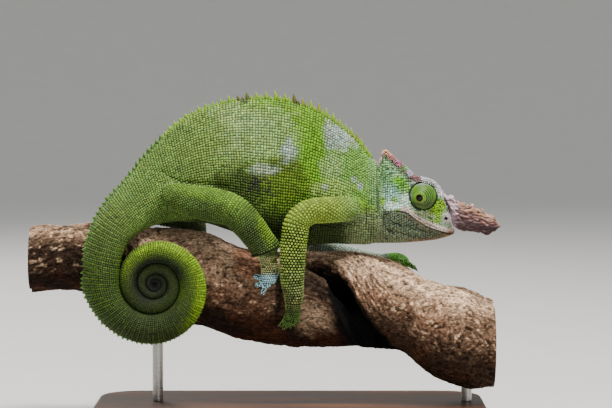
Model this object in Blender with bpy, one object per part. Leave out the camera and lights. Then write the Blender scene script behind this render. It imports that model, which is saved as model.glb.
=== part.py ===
"""A two-horned forest chameleon, life size, gripping a cut length of twisted vine on a plain display stand.

The animal faces +X and its right side faces -Y. The origin is the middle of the stand's underside, +Z up.
Sizes in this file are millimetres; MM turns them into metres where a mesh is made.
"""

import math

import bmesh
import bpy
import numpy as np
from mathutils import Matrix, Vector

MM = 0.001
GAP = 0.3  # left between pieces that touch
CUT_GROWTH = 0.36  # how far a cutter stands off the piece that it copies, so that corners keep the gap

# The stand.
BASE_LENGTH = 176.0
BASE_WIDTH = 84.0
BASE_HEIGHT = 8.0
BASE_CORNER = 18.0
BASE_EDGE = 1.2
ROD_RADIUS = 2.4
ROD_PLACES = {"stand_rod_left": -60.0, "stand_rod_right": 80.0}
ROD_SIDES = 16

# The twisted vine: two strands that share one rope. Each row is x, height of the rope's axis, and its radius.
ROPE = [
    (-118.0, 72.4, 15.3),
    (-103.0, 73.3, 15.6),
    (-85.0, 73.2, 15.9),
    (-67.5, 69.5, 17.7),
    (-54.0, 66.8, 20.0),
    (-40.0, 62.8, 21.4),
    (-22.0, 57.0, 21.6),
    (4.5, 54.3, 21.4),
    (25.0, 54.6, 21.4),
    (49.5, 50.9, 20.4),
    (60.0, 43.6, 22.0),
    (67.5, 39.9, 23.0),
    (78.8, 37.1, 23.2),
    (90.0, 34.8, 20.4),
    (94.0, 34.0, 19.6),
]
ROPE_ENDS = (-117.0, 92.0)
ROPE_DEPTH = 5.0  # how far behind the animal's middle plane the rope's axis runs
TWIST = [  # x, and how far the front strand has turned down from the front by there, in degrees
    (-118.0, -196.0),
    (-96.0, -180.0),
    (-82.0, -128.0),
    (-68.0, -62.0),
    (-54.0, -20.0),
    (-30.0, -6.0),
    (-6.0, 4.0),
    (7.0, 27.0),
    (16.0, 45.0),
    (22.5, 63.0),
    (28.0, 91.0),
    (34.0, 121.0),
    (40.0, 151.0),
    (48.0, 168.0),
    (74.0, 180.0),
    (94.0, 192.0),
]
STRAND_SECTION = [  # outward and sideways, as shares of the rope's radius
    (1.0, 0.0),
    (0.93, 0.37),
    (0.77, 0.66),
    (0.54, 0.85),
    (0.30, 0.94),
    (0.10, 0.80),
    (0.0, 0.5),
]
RING_STEP = (9.0, 20.5)  # a new ring of a strand comes after this length or this much turn, in degrees
LUMP_HEIGHT = 0.025  # of the radius

# Back line, belly line, half width and sideways place of the body, from the nape to the root of the coil.
# Each row is back x, back z, belly x, belly z, half width, y.
BODY = [
    (38.6, 117.3, 38.6, 80.2, 7.0, 0.0),
    (35.6, 119.6, 34.2, 79.4, 7.6, 0.0),
    (30.6, 125.7, 27.0, 79.6, 8.8, 0.0),
    (25.2, 130.6, 18.9, 80.0, 9.8, 0.0),
    (18.0, 136.2, 10.3, 79.3, 10.8, 0.0),
    (7.7, 141.6, 2.2, 78.4, 11.8, 0.0),
    (-2.7, 144.6, -5.9, 78.4, 12.4, 0.0),
    (-13.5, 145.4, -14.4, 80.0, 12.6, 0.0),
    (-24.7, 144.4, -22.0, 83.6, 12.3, 0.0),
    (-35.9, 141.6, -30.0, 86.8, 11.6, 0.0),
    (-47.1, 136.4, -38.0, 89.2, 10.8, 0.0),
    (-56.1, 128.8, -46.0, 90.0, 10.0, -0.3),
    (-65.0, 119.5, -54.0, 89.7, 9.2, -1.2),
    (-73.9, 108.3, -61.8, 88.0, 8.4, -3.8),
    (-81.6, 99.5, -67.0, 85.4, 7.8, -9.2),
    (-87.1, 89.9, -71.4, 81.4, 7.3, -15.4),
    (-90.1, 78.9, -74.2, 75.0, 6.9, -20.0),
]
BODY_KEEL = 0.42  # how much the section narrows towards the back line
NECK_ENDS = (0.0, 1.4)  # in rows of BODY
TORSO_ENDS = (1.4, 13.0)
BODY_SIDES = 18

# The coil, a spiral that halves at each turn. A turn of 0 is its leftmost place, and it runs down from there.
COIL_CENTRE = (-59.5, 63.6)
COIL_RADIUS = 23.6
COIL_DEPTH = -22.4
COIL_DIP = 1.2  # how much thinner the tail is on its outside, just past the leftmost place
COIL_THICKNESS = 0.333  # half thickness as a share of the radius
COIL_FLATNESS = 0.84  # half width as a share of the half thickness
TAIL_LENGTHS = {
    "tail_rear": (-0.035, 0.2),
    "tail_under": (0.2, 0.44),
    "tail_coil": (0.44, 1.4),
    "tail_core": (1.4, 3.15),
}
TAIL_RINGS_A_TURN = 19
TAIL_SIDES = 12
CORE_SIDES = 10

# Crest spines: spacing and length at the nape, over the hips and on the tail.
CREST_SPACING = [(0.0, 4.1), (90.0, 3.8), (135.0, 3.3), (240.0, 3.1)]
CREST_LENGTH = [(0.0, 2.6), (20.0, 3.2), (70.0, 3.0), (100.0, 2.1), (160.0, 1.9), (240.0, 1.1)]
CREST_ROOT = 0.36  # root radius as a share of the length
CREST_START = 5.0
CREST_END = 0.56  # in turns of the coil
SPINE_SIDES = 4

# Limbs: x, y, z and radius of points down the middle of each. The left limbs are the far ones.
ARM_RIGHT = [
    (36.4, -3.4, 97.3, 3.4),
    (31.8, -5.4, 96.8, 5.4),
    (26.3, -8.5, 95.8, 5.7),
    (17.4, -14.0, 95.9, 5.6),
    (9.0, -18.0, 95.2, 5.5),
    (3.7, -19.8, 91.2, 5.7),
    (2.0, -20.6, 83.9, 5.8),
    (1.3, -20.9, 75.0, 5.6),
    (1.1, -20.9, 66.2, 5.3),
    (1.7, -20.3, 58.9, 4.3),
    (1.6, -19.4, 53.4, 3.6),
]
ARM_LEFT = [
    (36.4, 3.4, 95.4, 3.4),
    (31.8, 5.6, 94.2, 5.4),
    (26.7, 9.0, 92.1, 5.6),
    (17.7, 15.5, 88.1, 5.4),
    (9.0, 21.0, 83.1, 5.2),
    (4.5, 25.2, 78.6, 5.4),
    (9.0, 26.6, 75.2, 5.6),
    (17.2, 25.0, 74.2, 5.2),
    (27.4, 21.6, 73.0, 4.2),
    (37.5, 17.6, 71.8, 3.1),
    (43.6, 14.8, 71.0, 2.8),
]
LEG_RIGHT = [
    (-64.4, -3.4, 104.6, 3.6),
    (-59.4, -5.0, 103.6, 5.6),
    (-52.0, -8.0, 102.0, 6.2),
    (-42.2, -12.8, 99.4, 7.1),
    (-32.9, -16.2, 97.9, 7.6),
    (-24.6, -18.3, 95.4, 7.2),
    (-18.6, -18.6, 89.6, 6.9),
    (-14.6, -18.2, 84.4, 6.5),
    (-11.2, -17.6, 79.4, 5.9),
    (-9.6, -17.0, 74.2, 4.0),
    (-9.3, -17.4, 69.6, 3.5),
]
LEG_LEFT = [
    (-64.4, 1.4, 103.0, 3.6),
    (-61.0, 5.2, 99.4, 5.7),
    (-57.2, 10.2, 95.8, 6.7),
    (-52.8, 15.6, 92.9, 7.1),
    (-48.8, 20.8, 90.4, 6.8),
    (-45.4, 25.4, 87.2, 6.2),
    (-44.2, 28.6, 82.2, 5.4),
    (-44.2, 30.0, 76.6, 4.7),
    (-44.6, 30.6, 71.2, 4.1),
    (-45.2, 30.6, 66.2, 3.6),
    (-45.5, 30.2, 62.4, 3.4),
]
LIMB_JOINT = 5.0  # row of the elbow and the knee
LIMB_WRIST = 9.3
LIMB_FLATNESS = 0.86
LIMB_SIDES = 12

# Feet: where the palm and the toe tips lie on the rope, as x and degrees from the front, down.
FEET = {
    "hand_right": {
        "palm": (1.2, 13.0),
        "outer": [(-4.2, 26.0), (-2.6, 30.0)],
        "inner": [(3.8, 22.0), (2.2, 25.0), (0.4, 27.0)],
    },
    "hand_left": {
        "palm": (49.0, -112.0),
        "outer": [(55.5, -137.0), (51.0, -144.0)],
        "inner": [(56.5, -101.0), (54.6, -92.0), (50.6, -88.0)],
    },
    "foot_right": {
        "palm": (-9.4, -24.0),
        "outer": [(-15.6, -28.0), (-14.7, -17.0), (-12.1, -9.0)],
        "inner": [(-4.8, -40.0), (-5.8, -49.0)],
    },
    "foot_left": {
        "palm": (-45.5, -186.0),
        "outer": [(-52.0, -193.0), (-51.6, -206.0), (-48.0, -216.0)],
        "inner": [(-39.9, -206.0), (-42.5, -216.0)],
    },
}
PALM_RADIUS = 3.3
PALM_LIFT = 2.2
MITT_RADII = [(0.0, 3.1), (0.3, 2.9), (0.6, 2.3), (0.78, 1.3)]  # share of the way to the tips, and radius
TOE_RADIUS = 1.35
TOE_TIP_RADIUS = 0.95
TOE_LIFT = 1.15
CLAW_LENGTH = 2.0
CLAW_RADIUS = 0.55

# The head, as values along x: heights of its level lines and their half widths.
HEAD_RINGS = [
    38.95, 39.8, 40.6, 41.4, 42.3, 44.8, 49.0, 52.4, 55.4,
    58.4, 61.4, 64.4, 67.2, 69.4, 71.2, 72.6, 73.6, 74.1,
]
CROWN = [
    (38.9, 116.6), (39.8, 117.2), (40.6, 118.9), (41.5, 121.7), (42.3, 122.1), (44.8, 120.1), (49.0, 116.3),
    (52.2, 113.5), (54.6, 111.2), (57.2, 109.6), (60.0, 109.0), (62.7, 108.2), (65.5, 106.6), (67.8, 104.0),
    (69.6, 100.6), (71.3, 95.0), (72.6, 90.4), (73.6, 87.2), (74.1, 86.2),
]
CROWN_HALF = [
    (38.9, 1.7), (40.6, 1.1), (41.8, 0.8), (44.8, 1.3), (49.0, 2.3), (52.2, 3.1), (55.0, 3.9), (60.0, 4.7),
    (64.0, 4.6), (67.0, 4.0), (69.5, 3.5), (71.5, 2.9), (73.2, 1.6), (74.1, 0.6),
]
TEMPLE = [
    (38.9, 108.0), (42.6, 110.0), (49.0, 107.0), (54.0, 105.0), (60.0, 103.0), (66.0, 100.0), (69.5, 96.0),
    (72.0, 90.2), (74.1, 86.0),
]
TEMPLE_HALF = [
    (38.9, 5.2), (42.6, 4.6), (46.0, 5.4), (49.0, 6.0), (54.0, 6.1), (60.0, 6.0), (66.0, 5.2), (69.5, 4.2),
    (72.0, 3.0), (73.4, 1.7), (74.1, 0.7),
]
CHEEK = [
    (38.9, 98.0), (46.0, 98.5), (52.0, 98.0), (58.0, 95.6), (64.0, 92.5),
    (69.0, 89.6), (72.0, 87.6), (74.1, 85.8),
]
CHEEK_HALF = [
    (38.9, 7.0), (46.0, 8.2), (52.0, 7.9), (58.0, 7.0), (64.0, 5.8),
    (69.0, 4.3), (72.0, 3.1), (73.4, 1.8), (74.1, 0.8),
]
MOUTH = [
    (38.9, 93.6), (46.4, 94.2), (51.8, 94.0), (54.9, 93.1), (60.8, 90.1),
    (67.5, 86.9), (72.0, 85.4), (74.1, 85.1),
]
LIP_HALF = [
    (38.9, 7.1), (46.0, 8.4), (52.0, 8.1), (58.0, 7.1), (64.0, 5.8),
    (69.0, 4.3), (72.0, 3.0), (73.4, 1.8), (74.1, 0.9),
]
JAW_HALF = [
    (38.9, 6.6), (46.0, 7.7), (52.0, 7.3), (58.0, 6.3), (64.0, 5.1),
    (69.0, 3.8), (72.0, 2.5), (73.4, 1.4), (74.1, 0.7),
]
CHIN = [
    (38.9, 80.2), (46.0, 80.3), (52.2, 80.6), (58.0, 81.0), (63.5, 81.6),
    (68.0, 82.3), (71.0, 83.1), (73.0, 84.0), (74.1, 84.7),
]
SPANS_PER_LEVEL = 2

# Crests, lips, mouth and nostrils of the head.
CREST_LINE = [(42.6, 0.9), (48.0, 1.0), (52.6, 1.1), (56.0, 1.1), (60.0, 1.15), (64.0, 1.1), (67.4, 0.9)]
CREST_BUMP = 0.28
LIP_RANGE = (47.5, 73.4)
LIP_RADIUS = 0.85
MOUTH_RANGE = (46.0, 73.9)
MOUTH_RADIUS = 0.42
NOSTRIL = (69.7, 91.4)
NOSTRIL_RADIUS = 0.55

# Eyes: turret of fused lids round a small eyeball. Right side first; the left is its mirror image.
EYE_CENTRE = (59.5, -5.0, 101.6)
EYE_RADIUS = 5.9
EYE_INNER = 2.4  # the turrets stop this far from the middle plane
GAZE = (-0.30, -0.95, -0.085)
LID_HEIGHT = 0.7
LID_SPREAD = 30.0
EYEBALL_RADIUS = 1.9
EYEBALL_DEPTH = 1.65
EYE_SIDES = 16
EYE_RINGS = 12

# Horns: x, height of the middle, half height, distance from the middle plane, half thickness.
HORN = [
    (68.6, 95.0, 5.8, 2.6, 1.5),
    (71.5, 94.0, 6.7, 3.3, 2.1),
    (75.5, 92.7, 6.2, 3.6, 2.1),
    (80.0, 91.6, 5.8, 3.9, 2.0),
    (85.0, 90.1, 4.9, 4.3, 1.7),
    (88.6, 88.8, 3.9, 4.6, 1.4),
    (91.6, 88.4, 2.5, 4.9, 1.0),
    (94.3, 87.9, 0.6, 5.1, 0.4),
]
HORN_SIDES = 10
HORN_SCALE_ROWS = [(0.96, 1.0, 1.5), (0.4, 1.3, 0.9), (-0.35, 1.3, 0.9)]  # height share, root radius, length
HORN_SCALES = 4

# Colour, roughness and metallic value of each finish.
FINISHES = {
    "flank_skin": ((0.25, 0.38, 0.09), 0.62, 0.0),
    "limb_skin": ((0.20, 0.33, 0.05), 0.60, 0.0),
    "tail_skin": ((0.17, 0.33, 0.05), 0.60, 0.0),
    "head_skin": ((0.33, 0.45, 0.20), 0.60, 0.0),
    "turret_skin": ((0.22, 0.45, 0.05), 0.55, 0.0),
    "eyeball": ((0.01, 0.008, 0.006), 0.10, 0.0),
    "horn_scale": ((0.42, 0.25, 0.20), 0.65, 0.0),
    "vine_bark": ((0.24, 0.15, 0.10), 0.85, 0.0),
    "stand_wood": ((0.09, 0.05, 0.03), 0.45, 0.0),
    "stand_metal": ((0.55, 0.53, 0.50), 0.35, 1.0),
}


def spline(rows, place):
    """A row on the smooth curve through the rows, where place counts rows from 0."""
    last = len(rows) - 1
    first = max(0, min(int(place), last - 1))
    t = place - first
    before, start, end, after = (np.array(rows[max(0, min(last, first + k))], float) for k in (-1, 0, 1, 2))
    slope = end - before
    bend = 2 * before - 5 * start + 4 * end - after
    twist = 3 * start - before - 3 * end + after
    return 0.5 * (2 * start + slope * t + bend * t * t + twist * t**3)


def value_at(curve, x):
    """The value at x of the smooth curve through (x, value) points, with level runs kept level."""
    xs = [point[0] for point in curve]
    x = min(max(x, xs[0]), xs[-1])
    i = min(max(int(np.searchsorted(xs, x)) - 1, 0), len(xs) - 2)
    slopes = np.diff([point[1] for point in curve]) / np.diff(xs)

    def slope_at(k):
        if k == 0 or k == len(xs) - 1:
            return slopes[min(k, len(slopes) - 1)]
        left, right = slopes[k - 1], slopes[k]
        return 0.0 if left * right <= 0 else 2 * left * right / (left + right)

    width = xs[i + 1] - xs[i]
    t = (x - xs[i]) / width
    start, end = curve[i][1], curve[i + 1][1]
    return (
        start * (2 * t**3 - 3 * t**2 + 1)
        + end * (3 * t**2 - 2 * t**3)
        + width * slope_at(i) * (t**3 - 2 * t**2 + t)
        + width * slope_at(i + 1) * (t**3 - t**2)
    )


def finish(name):
    """The material of that name, made once."""
    material = bpy.data.materials.get(name)
    if material is None:
        colour, roughness, metallic = FINISHES[name]
        material = bpy.data.materials.new(name)
        material.use_nodes = True
        shader = material.node_tree.nodes["Principled BSDF"]
        shader.inputs["Base Color"].default_value = (*colour, 1.0)
        shader.inputs["Roughness"].default_value = roughness
        shader.inputs["Metallic"].default_value = metallic
        material.diffuse_color = (*colour, 1.0)
    return material


def add_object(name, mesh, finish_name):
    """An object of that mesh in the scene, shaded smooth except at its sharp edges."""
    thing = bpy.data.objects.new(name, mesh)
    bpy.context.scene.collection.objects.link(thing)
    mesh.materials.clear()
    mesh.materials.append(finish(finish_name))
    mesh.shade_smooth()
    mesh.set_sharp_from_angle(angle=math.radians(40))
    return thing


def solid_through(name, rings, finish_name="flank_skin"):
    """A closed solid through rings of equally many points, with flat ends."""
    shape = bmesh.new()
    loops = [[shape.verts.new(Vector(point) * MM) for point in ring] for ring in rings]
    for near, far in zip(loops, loops[1:]):
        for j, corner in enumerate(near):
            shape.faces.new((near[j - 1], corner, far[j], far[j - 1]))
    shape.faces.new(loops[0])
    shape.faces.new(list(reversed(loops[-1])))
    bmesh.ops.recalc_face_normals(shape, faces=shape.faces)
    quads = [face for face in shape.faces if len(face.verts) == 4]
    bmesh.ops.triangulate(shape, faces=quads, quad_method="SHORT_EDGE")
    mesh = bpy.data.meshes.new(name)
    shape.to_mesh(mesh)
    shape.free()
    return add_object(name, mesh, finish_name)


def grown(thing, by=CUT_GROWTH):
    """A copy whose surface stands off by that many millimetres, to cut its neighbours with."""
    shape = bmesh.new()
    shape.from_mesh(thing.data)
    shape.normal_update()
    moves = [(corner, corner.normal * by * MM) for corner in shape.verts]
    for corner, move in moves:
        corner.co += move
    mesh = bpy.data.meshes.new(thing.name + "_cutter")
    shape.to_mesh(mesh)
    shape.free()
    cutter = add_object(mesh.name, mesh, "stand_metal")
    cutter.hide_render = True
    cutter.display_type = "WIRE"
    return cutter


def keep_largest(thing):
    """Drops every closed surface of the object but the largest."""
    shape = bmesh.new()
    shape.from_mesh(thing.data)
    waiting = set(shape.verts)
    islands = []
    while waiting:
        island, edge_of_island = set(), [waiting.pop()]
        while edge_of_island:
            corner = edge_of_island.pop()
            island.add(corner)
            for edge in corner.link_edges:
                other = edge.other_vert(corner)
                if other in waiting:
                    waiting.remove(other)
                    edge_of_island.append(other)
        islands.append(island)

    def box_size(island):
        places = np.array([corner.co for corner in island])
        return float(np.prod(places.max(0) - places.min(0)))

    islands.sort(key=box_size, reverse=True)
    for island in islands[1:]:
        bmesh.ops.delete(shape, geom=list(island), context="VERTS")
    shape.to_mesh(thing.data)
    shape.free()


def combine(thing, others, operation, keep=False, solver="EXACT"):
    """Joins the others to the object, or cuts them from it, with one Boolean on a collection of them."""
    pieces = bpy.data.collections.new("pieces")
    bpy.context.scene.collection.children.link(pieces)
    for other in others:
        pieces.objects.link(other)
    boolean = thing.modifiers.new(operation.lower(), "BOOLEAN")
    boolean.operation = operation
    boolean.solver = solver
    boolean.operand_type = "COLLECTION"
    boolean.collection = pieces
    bpy.context.view_layer.update()
    result = bpy.data.meshes.new_from_object(thing.evaluated_get(bpy.context.evaluated_depsgraph_get()))
    thing.modifiers.clear()
    finish_name = thing.data.materials[0].name
    thing.data = result
    result.materials.clear()
    result.materials.append(finish(finish_name))
    result.polygons.foreach_set("material_index", [0] * len(result.polygons))
    result.shade_smooth()
    result.set_sharp_from_angle(angle=math.radians(40))
    if not keep:
        for other in others:
            bpy.data.objects.remove(other)
    bpy.data.collections.remove(pieces)
    keep_largest(thing)
    return thing


def rope_at(x):
    """Height of the rope's axis and its radius at x."""
    axis = value_at([(row[0], row[1]) for row in ROPE], x)
    radius = value_at([(row[0], row[2]) for row in ROPE], x)
    return axis, radius


def rope_point(x, degrees, lift=0.0):
    """A point on the rope at x, that many degrees down from its front, lifted off its surface."""
    axis, radius = rope_at(x)
    turn = math.radians(degrees)
    reach = radius + lift
    return np.array((x, ROPE_DEPTH - reach * math.cos(turn), axis - reach * math.sin(turn)))


def ring_places():
    """Places along the rope, closer together where the strands turn fast."""
    xs = np.linspace(*ROPE_ENDS, 400)
    turns = np.array([value_at(TWIST, x) for x in xs])
    pace = np.hypot(np.diff(xs) / RING_STEP[0], np.diff(turns) / RING_STEP[1])
    walked = np.concatenate([[0.0], np.cumsum(pace)])
    return np.interp(np.linspace(0, walked[-1], round(walked[-1]) + 1), walked, xs)


def strand_rings(phase, inner):
    """Sections of one strand along the rope. The two strands lie half a turn apart."""
    half = STRAND_SECTION[1:]
    outline = [STRAND_SECTION[0], *half, *[(out, -side) for out, side in reversed(half)]]
    rings = []
    for x in ring_places():
        axis, radius = rope_at(x)
        turn = math.radians(value_at(TWIST, x)) + phase
        out_way = np.array((0.0, -math.cos(turn), -math.sin(turn)))
        side_way = np.array((0.0, math.sin(turn), -math.cos(turn)))
        ring = []
        for k, (out, side) in enumerate(outline):
            lump = 1 + LUMP_HEIGHT * math.sin(0.13 * x + 1.7 * k + phase) * (out > 0.4)
            place = out_way * (out * radius * lump + inner * (out < 0.3)) + side_way * side * radius * lump
            ring.append(np.array((x, ROPE_DEPTH, axis)) + place)
        rings.append(ring)
    return rings


def make_perch():
    """The two strands, the second cut by the first where they touch. Returns a cutter for each."""
    front = solid_through("perch_vine_front", strand_rings(0.0, 0.0), "vine_bark")
    back = solid_through("perch_vine_back", strand_rings(math.pi, -1.2), "vine_bark")
    front_cutter = grown(front)
    back_cutter = grown(back)
    combine(back, [front_cutter], "DIFFERENCE", keep=True)
    return [front_cutter, back_cutter]


def make_stand(rope_cutters):
    shape = bmesh.new()
    corners = []
    for x_side, y_side, start in ((1, 1, 0), (-1, 1, 90), (-1, -1, 180), (1, -1, 270)):
        middle = (x_side * (BASE_LENGTH / 2 - BASE_CORNER), y_side * (BASE_WIDTH / 2 - BASE_CORNER))
        for step in range(7):
            turn = math.radians(start + 15 * step)
            x = middle[0] + BASE_CORNER * math.cos(turn)
            y = middle[1] + BASE_CORNER * math.sin(turn)
            corners.append((x, y))
    face = shape.faces.new([shape.verts.new(Vector((x, y, 0)) * MM) for x, y in corners])
    top = bmesh.ops.extrude_face_region(shape, geom=[face])
    raised = [item for item in top["geom"] if isinstance(item, bmesh.types.BMVert)]
    bmesh.ops.translate(shape, verts=raised, vec=Vector((0, 0, BASE_HEIGHT)) * MM)
    rim = [edge for edge in shape.edges if all(abs(end.co.z - BASE_HEIGHT * MM) < 1e-6 for end in edge.verts)]
    bmesh.ops.bevel(shape, geom=rim, offset=BASE_EDGE * MM, segments=2, profile=0.5, affect="EDGES")
    bmesh.ops.recalc_face_normals(shape, faces=shape.faces)
    mesh = bpy.data.meshes.new("stand_base")
    shape.to_mesh(mesh)
    shape.free()
    add_object("stand_base", mesh, "stand_wood")
    for name, x in ROD_PLACES.items():
        axis, _ = rope_at(x)
        rings = []
        for height in (BASE_HEIGHT + GAP, axis):
            rings.append(
                [
                    (x + ROD_RADIUS * math.cos(turn), ROPE_DEPTH + ROD_RADIUS * math.sin(turn), height)
                    for turn in np.linspace(0, 2 * math.pi, ROD_SIDES, endpoint=False)
                ]
            )
        rod = solid_through(name, rings, "stand_metal")
        combine(rod, rope_cutters, "DIFFERENCE", keep=True)


def body_section(back, belly, half_width, depth, sides, keel):
    """A closed section between a point of the back line and one of the belly line, both as x and z."""
    ring = []
    for j in range(sides):
        turn = 2 * math.pi * j / sides
        share = (1 + math.cos(turn)) / 2
        x, z = belly + (back - belly) * share
        ring.append(np.array((x, depth + half_width * math.sin(turn) * (1 - keel * share**2), z)))
    return ring


def body_ring(place, sides=BODY_SIDES):
    """The body's section at that row of BODY."""
    row = spline(BODY, place)
    keel = BODY_KEEL * min(1.0, max(0.35, (16.0 - place) / 5.0))
    return body_section(row[0:2], row[2:4], row[4], row[5], sides, keel)


def coil_row(turns):
    """Outer point, inner point, half width and depth of the coil after that many turns."""
    radius = COIL_RADIUS * 0.5**turns
    half = COIL_THICKNESS * radius - 0.75 * GAP
    angle = math.pi + 2 * math.pi * turns
    way = np.array((math.cos(angle), math.sin(angle)))
    centre = np.array(COIL_CENTRE)
    dip = COIL_DIP * math.exp(-(((turns - 0.13) / 0.11) ** 2))
    outer = centre + way * (radius + half - dip)
    return outer, centre + way * (radius - half), COIL_FLATNESS * half, COIL_DEPTH


def coil_ring(turns, sides=TAIL_SIDES):
    back, belly, half_width, depth = coil_row(turns)
    return body_section(back, belly, half_width, depth, sides, 0.15)


def moved(ring, way):
    return [point + way for point in ring]


def ring_normal(ring, ahead):
    """The unit normal of a flat ring, on the side of the ring ahead."""
    centre = np.mean(ring, axis=0)
    normal = np.cross(ring[0] - centre, ring[len(ring) // 4] - centre)
    normal /= np.linalg.norm(normal)
    return normal if np.dot(normal, np.mean(ahead, axis=0) - centre) > 0 else -normal


def spaced(rings):
    """The rings, with the first moved ahead so that the piece keeps the gap to the one before it."""
    rings[0] = moved(rings[0], ring_normal(rings[0], rings[1]) * GAP)
    return rings


def dorsal_line():
    """Points of the back line from the nape to the coil, with the node and the way up at each."""
    line = []
    for place in np.linspace(NECK_ENDS[0], len(BODY) - 1, 500):
        row = spline(BODY, place)
        node = "neck" if place < NECK_ENDS[1] else "torso" if place < TORSO_ENDS[1] else "tail_upper"
        line.append((row[0:2], row[0:2] - row[2:4], row[5], node))
    for turns in np.linspace(-0.03, CREST_END, 240):
        back, belly, _, depth = coil_row(turns)
        node = next(name for name, ends in TAIL_LENGTHS.items() if turns < ends[1])
        line.append((back, back - belly, depth, node))
    return line


def spine(foot, up, length, radius, name="spine", sides=SPINE_SIDES, sink=0.8):
    """A tapered spine with its root sunk below its foot."""
    up = np.array(up) / np.linalg.norm(up)
    side = np.cross(up, (0.0, 1.0, 0.0) if abs(up[1]) < 0.9 else (1.0, 0.0, 0.0))
    side /= np.linalg.norm(side)
    other = np.cross(up, side)
    shape = bmesh.new()
    root = []
    for turn in np.linspace(0, 2 * math.pi, sides, endpoint=False):
        place = foot - up * sink + (side * math.cos(turn) + other * math.sin(turn)) * radius
        root.append(shape.verts.new(Vector(place) * MM))
    tip = shape.verts.new(Vector(foot + up * length) * MM)
    for j in range(sides):
        shape.faces.new((root[j - 1], root[j], tip))
    shape.faces.new(root)
    bmesh.ops.recalc_face_normals(shape, faces=shape.faces)
    mesh = bpy.data.meshes.new(name)
    shape.to_mesh(mesh)
    shape.free()
    return add_object(name, mesh, "tail_skin")


def crest_spines():
    """The spines of the crest, in a list for each node that they stand on, clear of where nodes meet."""
    line = dorsal_line()
    steps = [float(np.linalg.norm(here[0] - start[0])) for start, here in zip(line, line[1:])]
    walks = np.cumsum([0.0, *steps])
    seams = [walk for walk, here, ahead in zip(walks, line, line[1:]) if here[3] != ahead[3]]
    spines, due = {}, CREST_START
    for walk, (here, up, depth, node) in zip(walks, line):
        length = value_at(CREST_LENGTH, walk)
        radius = length * CREST_ROOT + 0.35
        if walk < due or any(abs(walk - seam) < radius + 0.8 for seam in seams):
            continue
        due = walk + value_at(CREST_SPACING, walk)
        foot = np.array((here[0], depth, here[1]))
        spines.setdefault(node, []).append(spine(foot, np.array((up[0], 0.0, up[1])), length, radius))
    return spines


def make_trunk():
    """Neck, torso and the lengths of the tail, each with its spines. Returns cutters for the limbs."""
    spines = crest_spines()
    end = len(BODY) - 1
    neck = solid_through("neck", [body_ring(place) for place in np.linspace(*NECK_ENDS, 4)])
    torso = solid_through("torso", spaced([body_ring(place) for place in np.linspace(*TORSO_ENDS, 20)]))
    upper_rings = [body_ring(place) for place in np.linspace(TORSO_ENDS[1], end, 9)]
    pieces = [neck, torso, solid_through("tail_upper", spaced(upper_rings), "tail_skin")]
    cutters = [grown(piece) for piece in pieces]
    for name, (start, stop) in TAIL_LENGTHS.items():
        sides = BODY_SIDES if start < 0.3 else TAIL_SIDES if start < 1 else CORE_SIDES
        places = np.linspace(start, stop, 2 + round((stop - start) * TAIL_RINGS_A_TURN))
        rings = [coil_ring(turns, sides) for turns in places]
        if start < 0:
            rings.insert(0, body_ring(end))
        pieces.append(solid_through(name, spaced(rings), "tail_skin"))
    for piece in pieces:
        if spines.get(piece.name):
            combine(piece, spines[piece.name], "UNION")
    return cutters


def tube_rings(rows, places, sides, flatness, side_hint):
    """Rings of an oval tube through rows of x, y, z and radius, flattened along the hinted way."""
    rings = []
    for place in places:
        row = spline(rows, place)
        last = len(rows) - 1
        ahead = spline(rows, min(place + 0.05, last)) - spline(rows, max(place - 0.05, 0))
        forward = ahead[:3] / np.linalg.norm(ahead[:3])
        across = np.array(side_hint) - forward * np.dot(side_hint, forward)
        across /= np.linalg.norm(across)
        up = np.cross(forward, across)
        ring = []
        for turn in np.linspace(0, 2 * math.pi, sides, endpoint=False):
            ring.append(row[:3] + row[3] * (up * math.cos(turn) + across * flatness * math.sin(turn)))
        rings.append(ring)
    return rings


def toe(palm, tip, side_hint):
    """One toe from the palm to its tip along the bark, with its claw."""
    palm_x, palm_turn = palm
    tip_x, tip_turn = tip
    rows = []
    for share in (0.3, 0.6, 0.85, 1.0):
        x = palm_x + (tip_x - palm_x) * share
        turn = palm_turn + (tip_turn - palm_turn) * share
        lift = TOE_LIFT + (PALM_LIFT - TOE_LIFT) * max(0.0, 0.6 - share)
        radius = TOE_RADIUS + (TOE_TIP_RADIUS - TOE_RADIUS) * share
        rows.append((*rope_point(x, turn, lift), radius))
    end = np.array(rows[-1][:3])
    way = end - np.array(rows[-2][:3])
    way /= np.linalg.norm(way)
    rows.append((*(end + way * 0.7), TOE_TIP_RADIUS * 0.45))
    skin = solid_through("toe", tube_rings(rows, (0, 1, 2, 3, 4), 5, 1.0, side_hint), "limb_skin")
    axis, _ = rope_at(tip_x)
    down = np.array((tip_x, ROPE_DEPTH, axis)) - end
    down /= np.linalg.norm(down)
    claw_way = way + 0.35 * down
    claw = spine(end + way * 0.5, claw_way, CLAW_LENGTH, CLAW_RADIUS, "claw", 5, 0.6)
    return [skin, claw]


def mitt(palm, tips, hint):
    """The fleshy pad that holds a bundle of toes together, from the palm to where the toes part."""
    end_x, end_turn = np.mean(tips, axis=0)
    rows = []
    for share, radius in MITT_RADII:
        x = palm[0] + (end_x - palm[0]) * share
        turn = palm[1] + (end_turn - palm[1]) * share
        rows.append((*rope_point(x, turn, PALM_LIFT - 0.7 * share), radius))
    places = np.arange(len(rows))
    return solid_through("mitt", tube_rings(rows, places, 7, 0.75, hint), "limb_skin")


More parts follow.
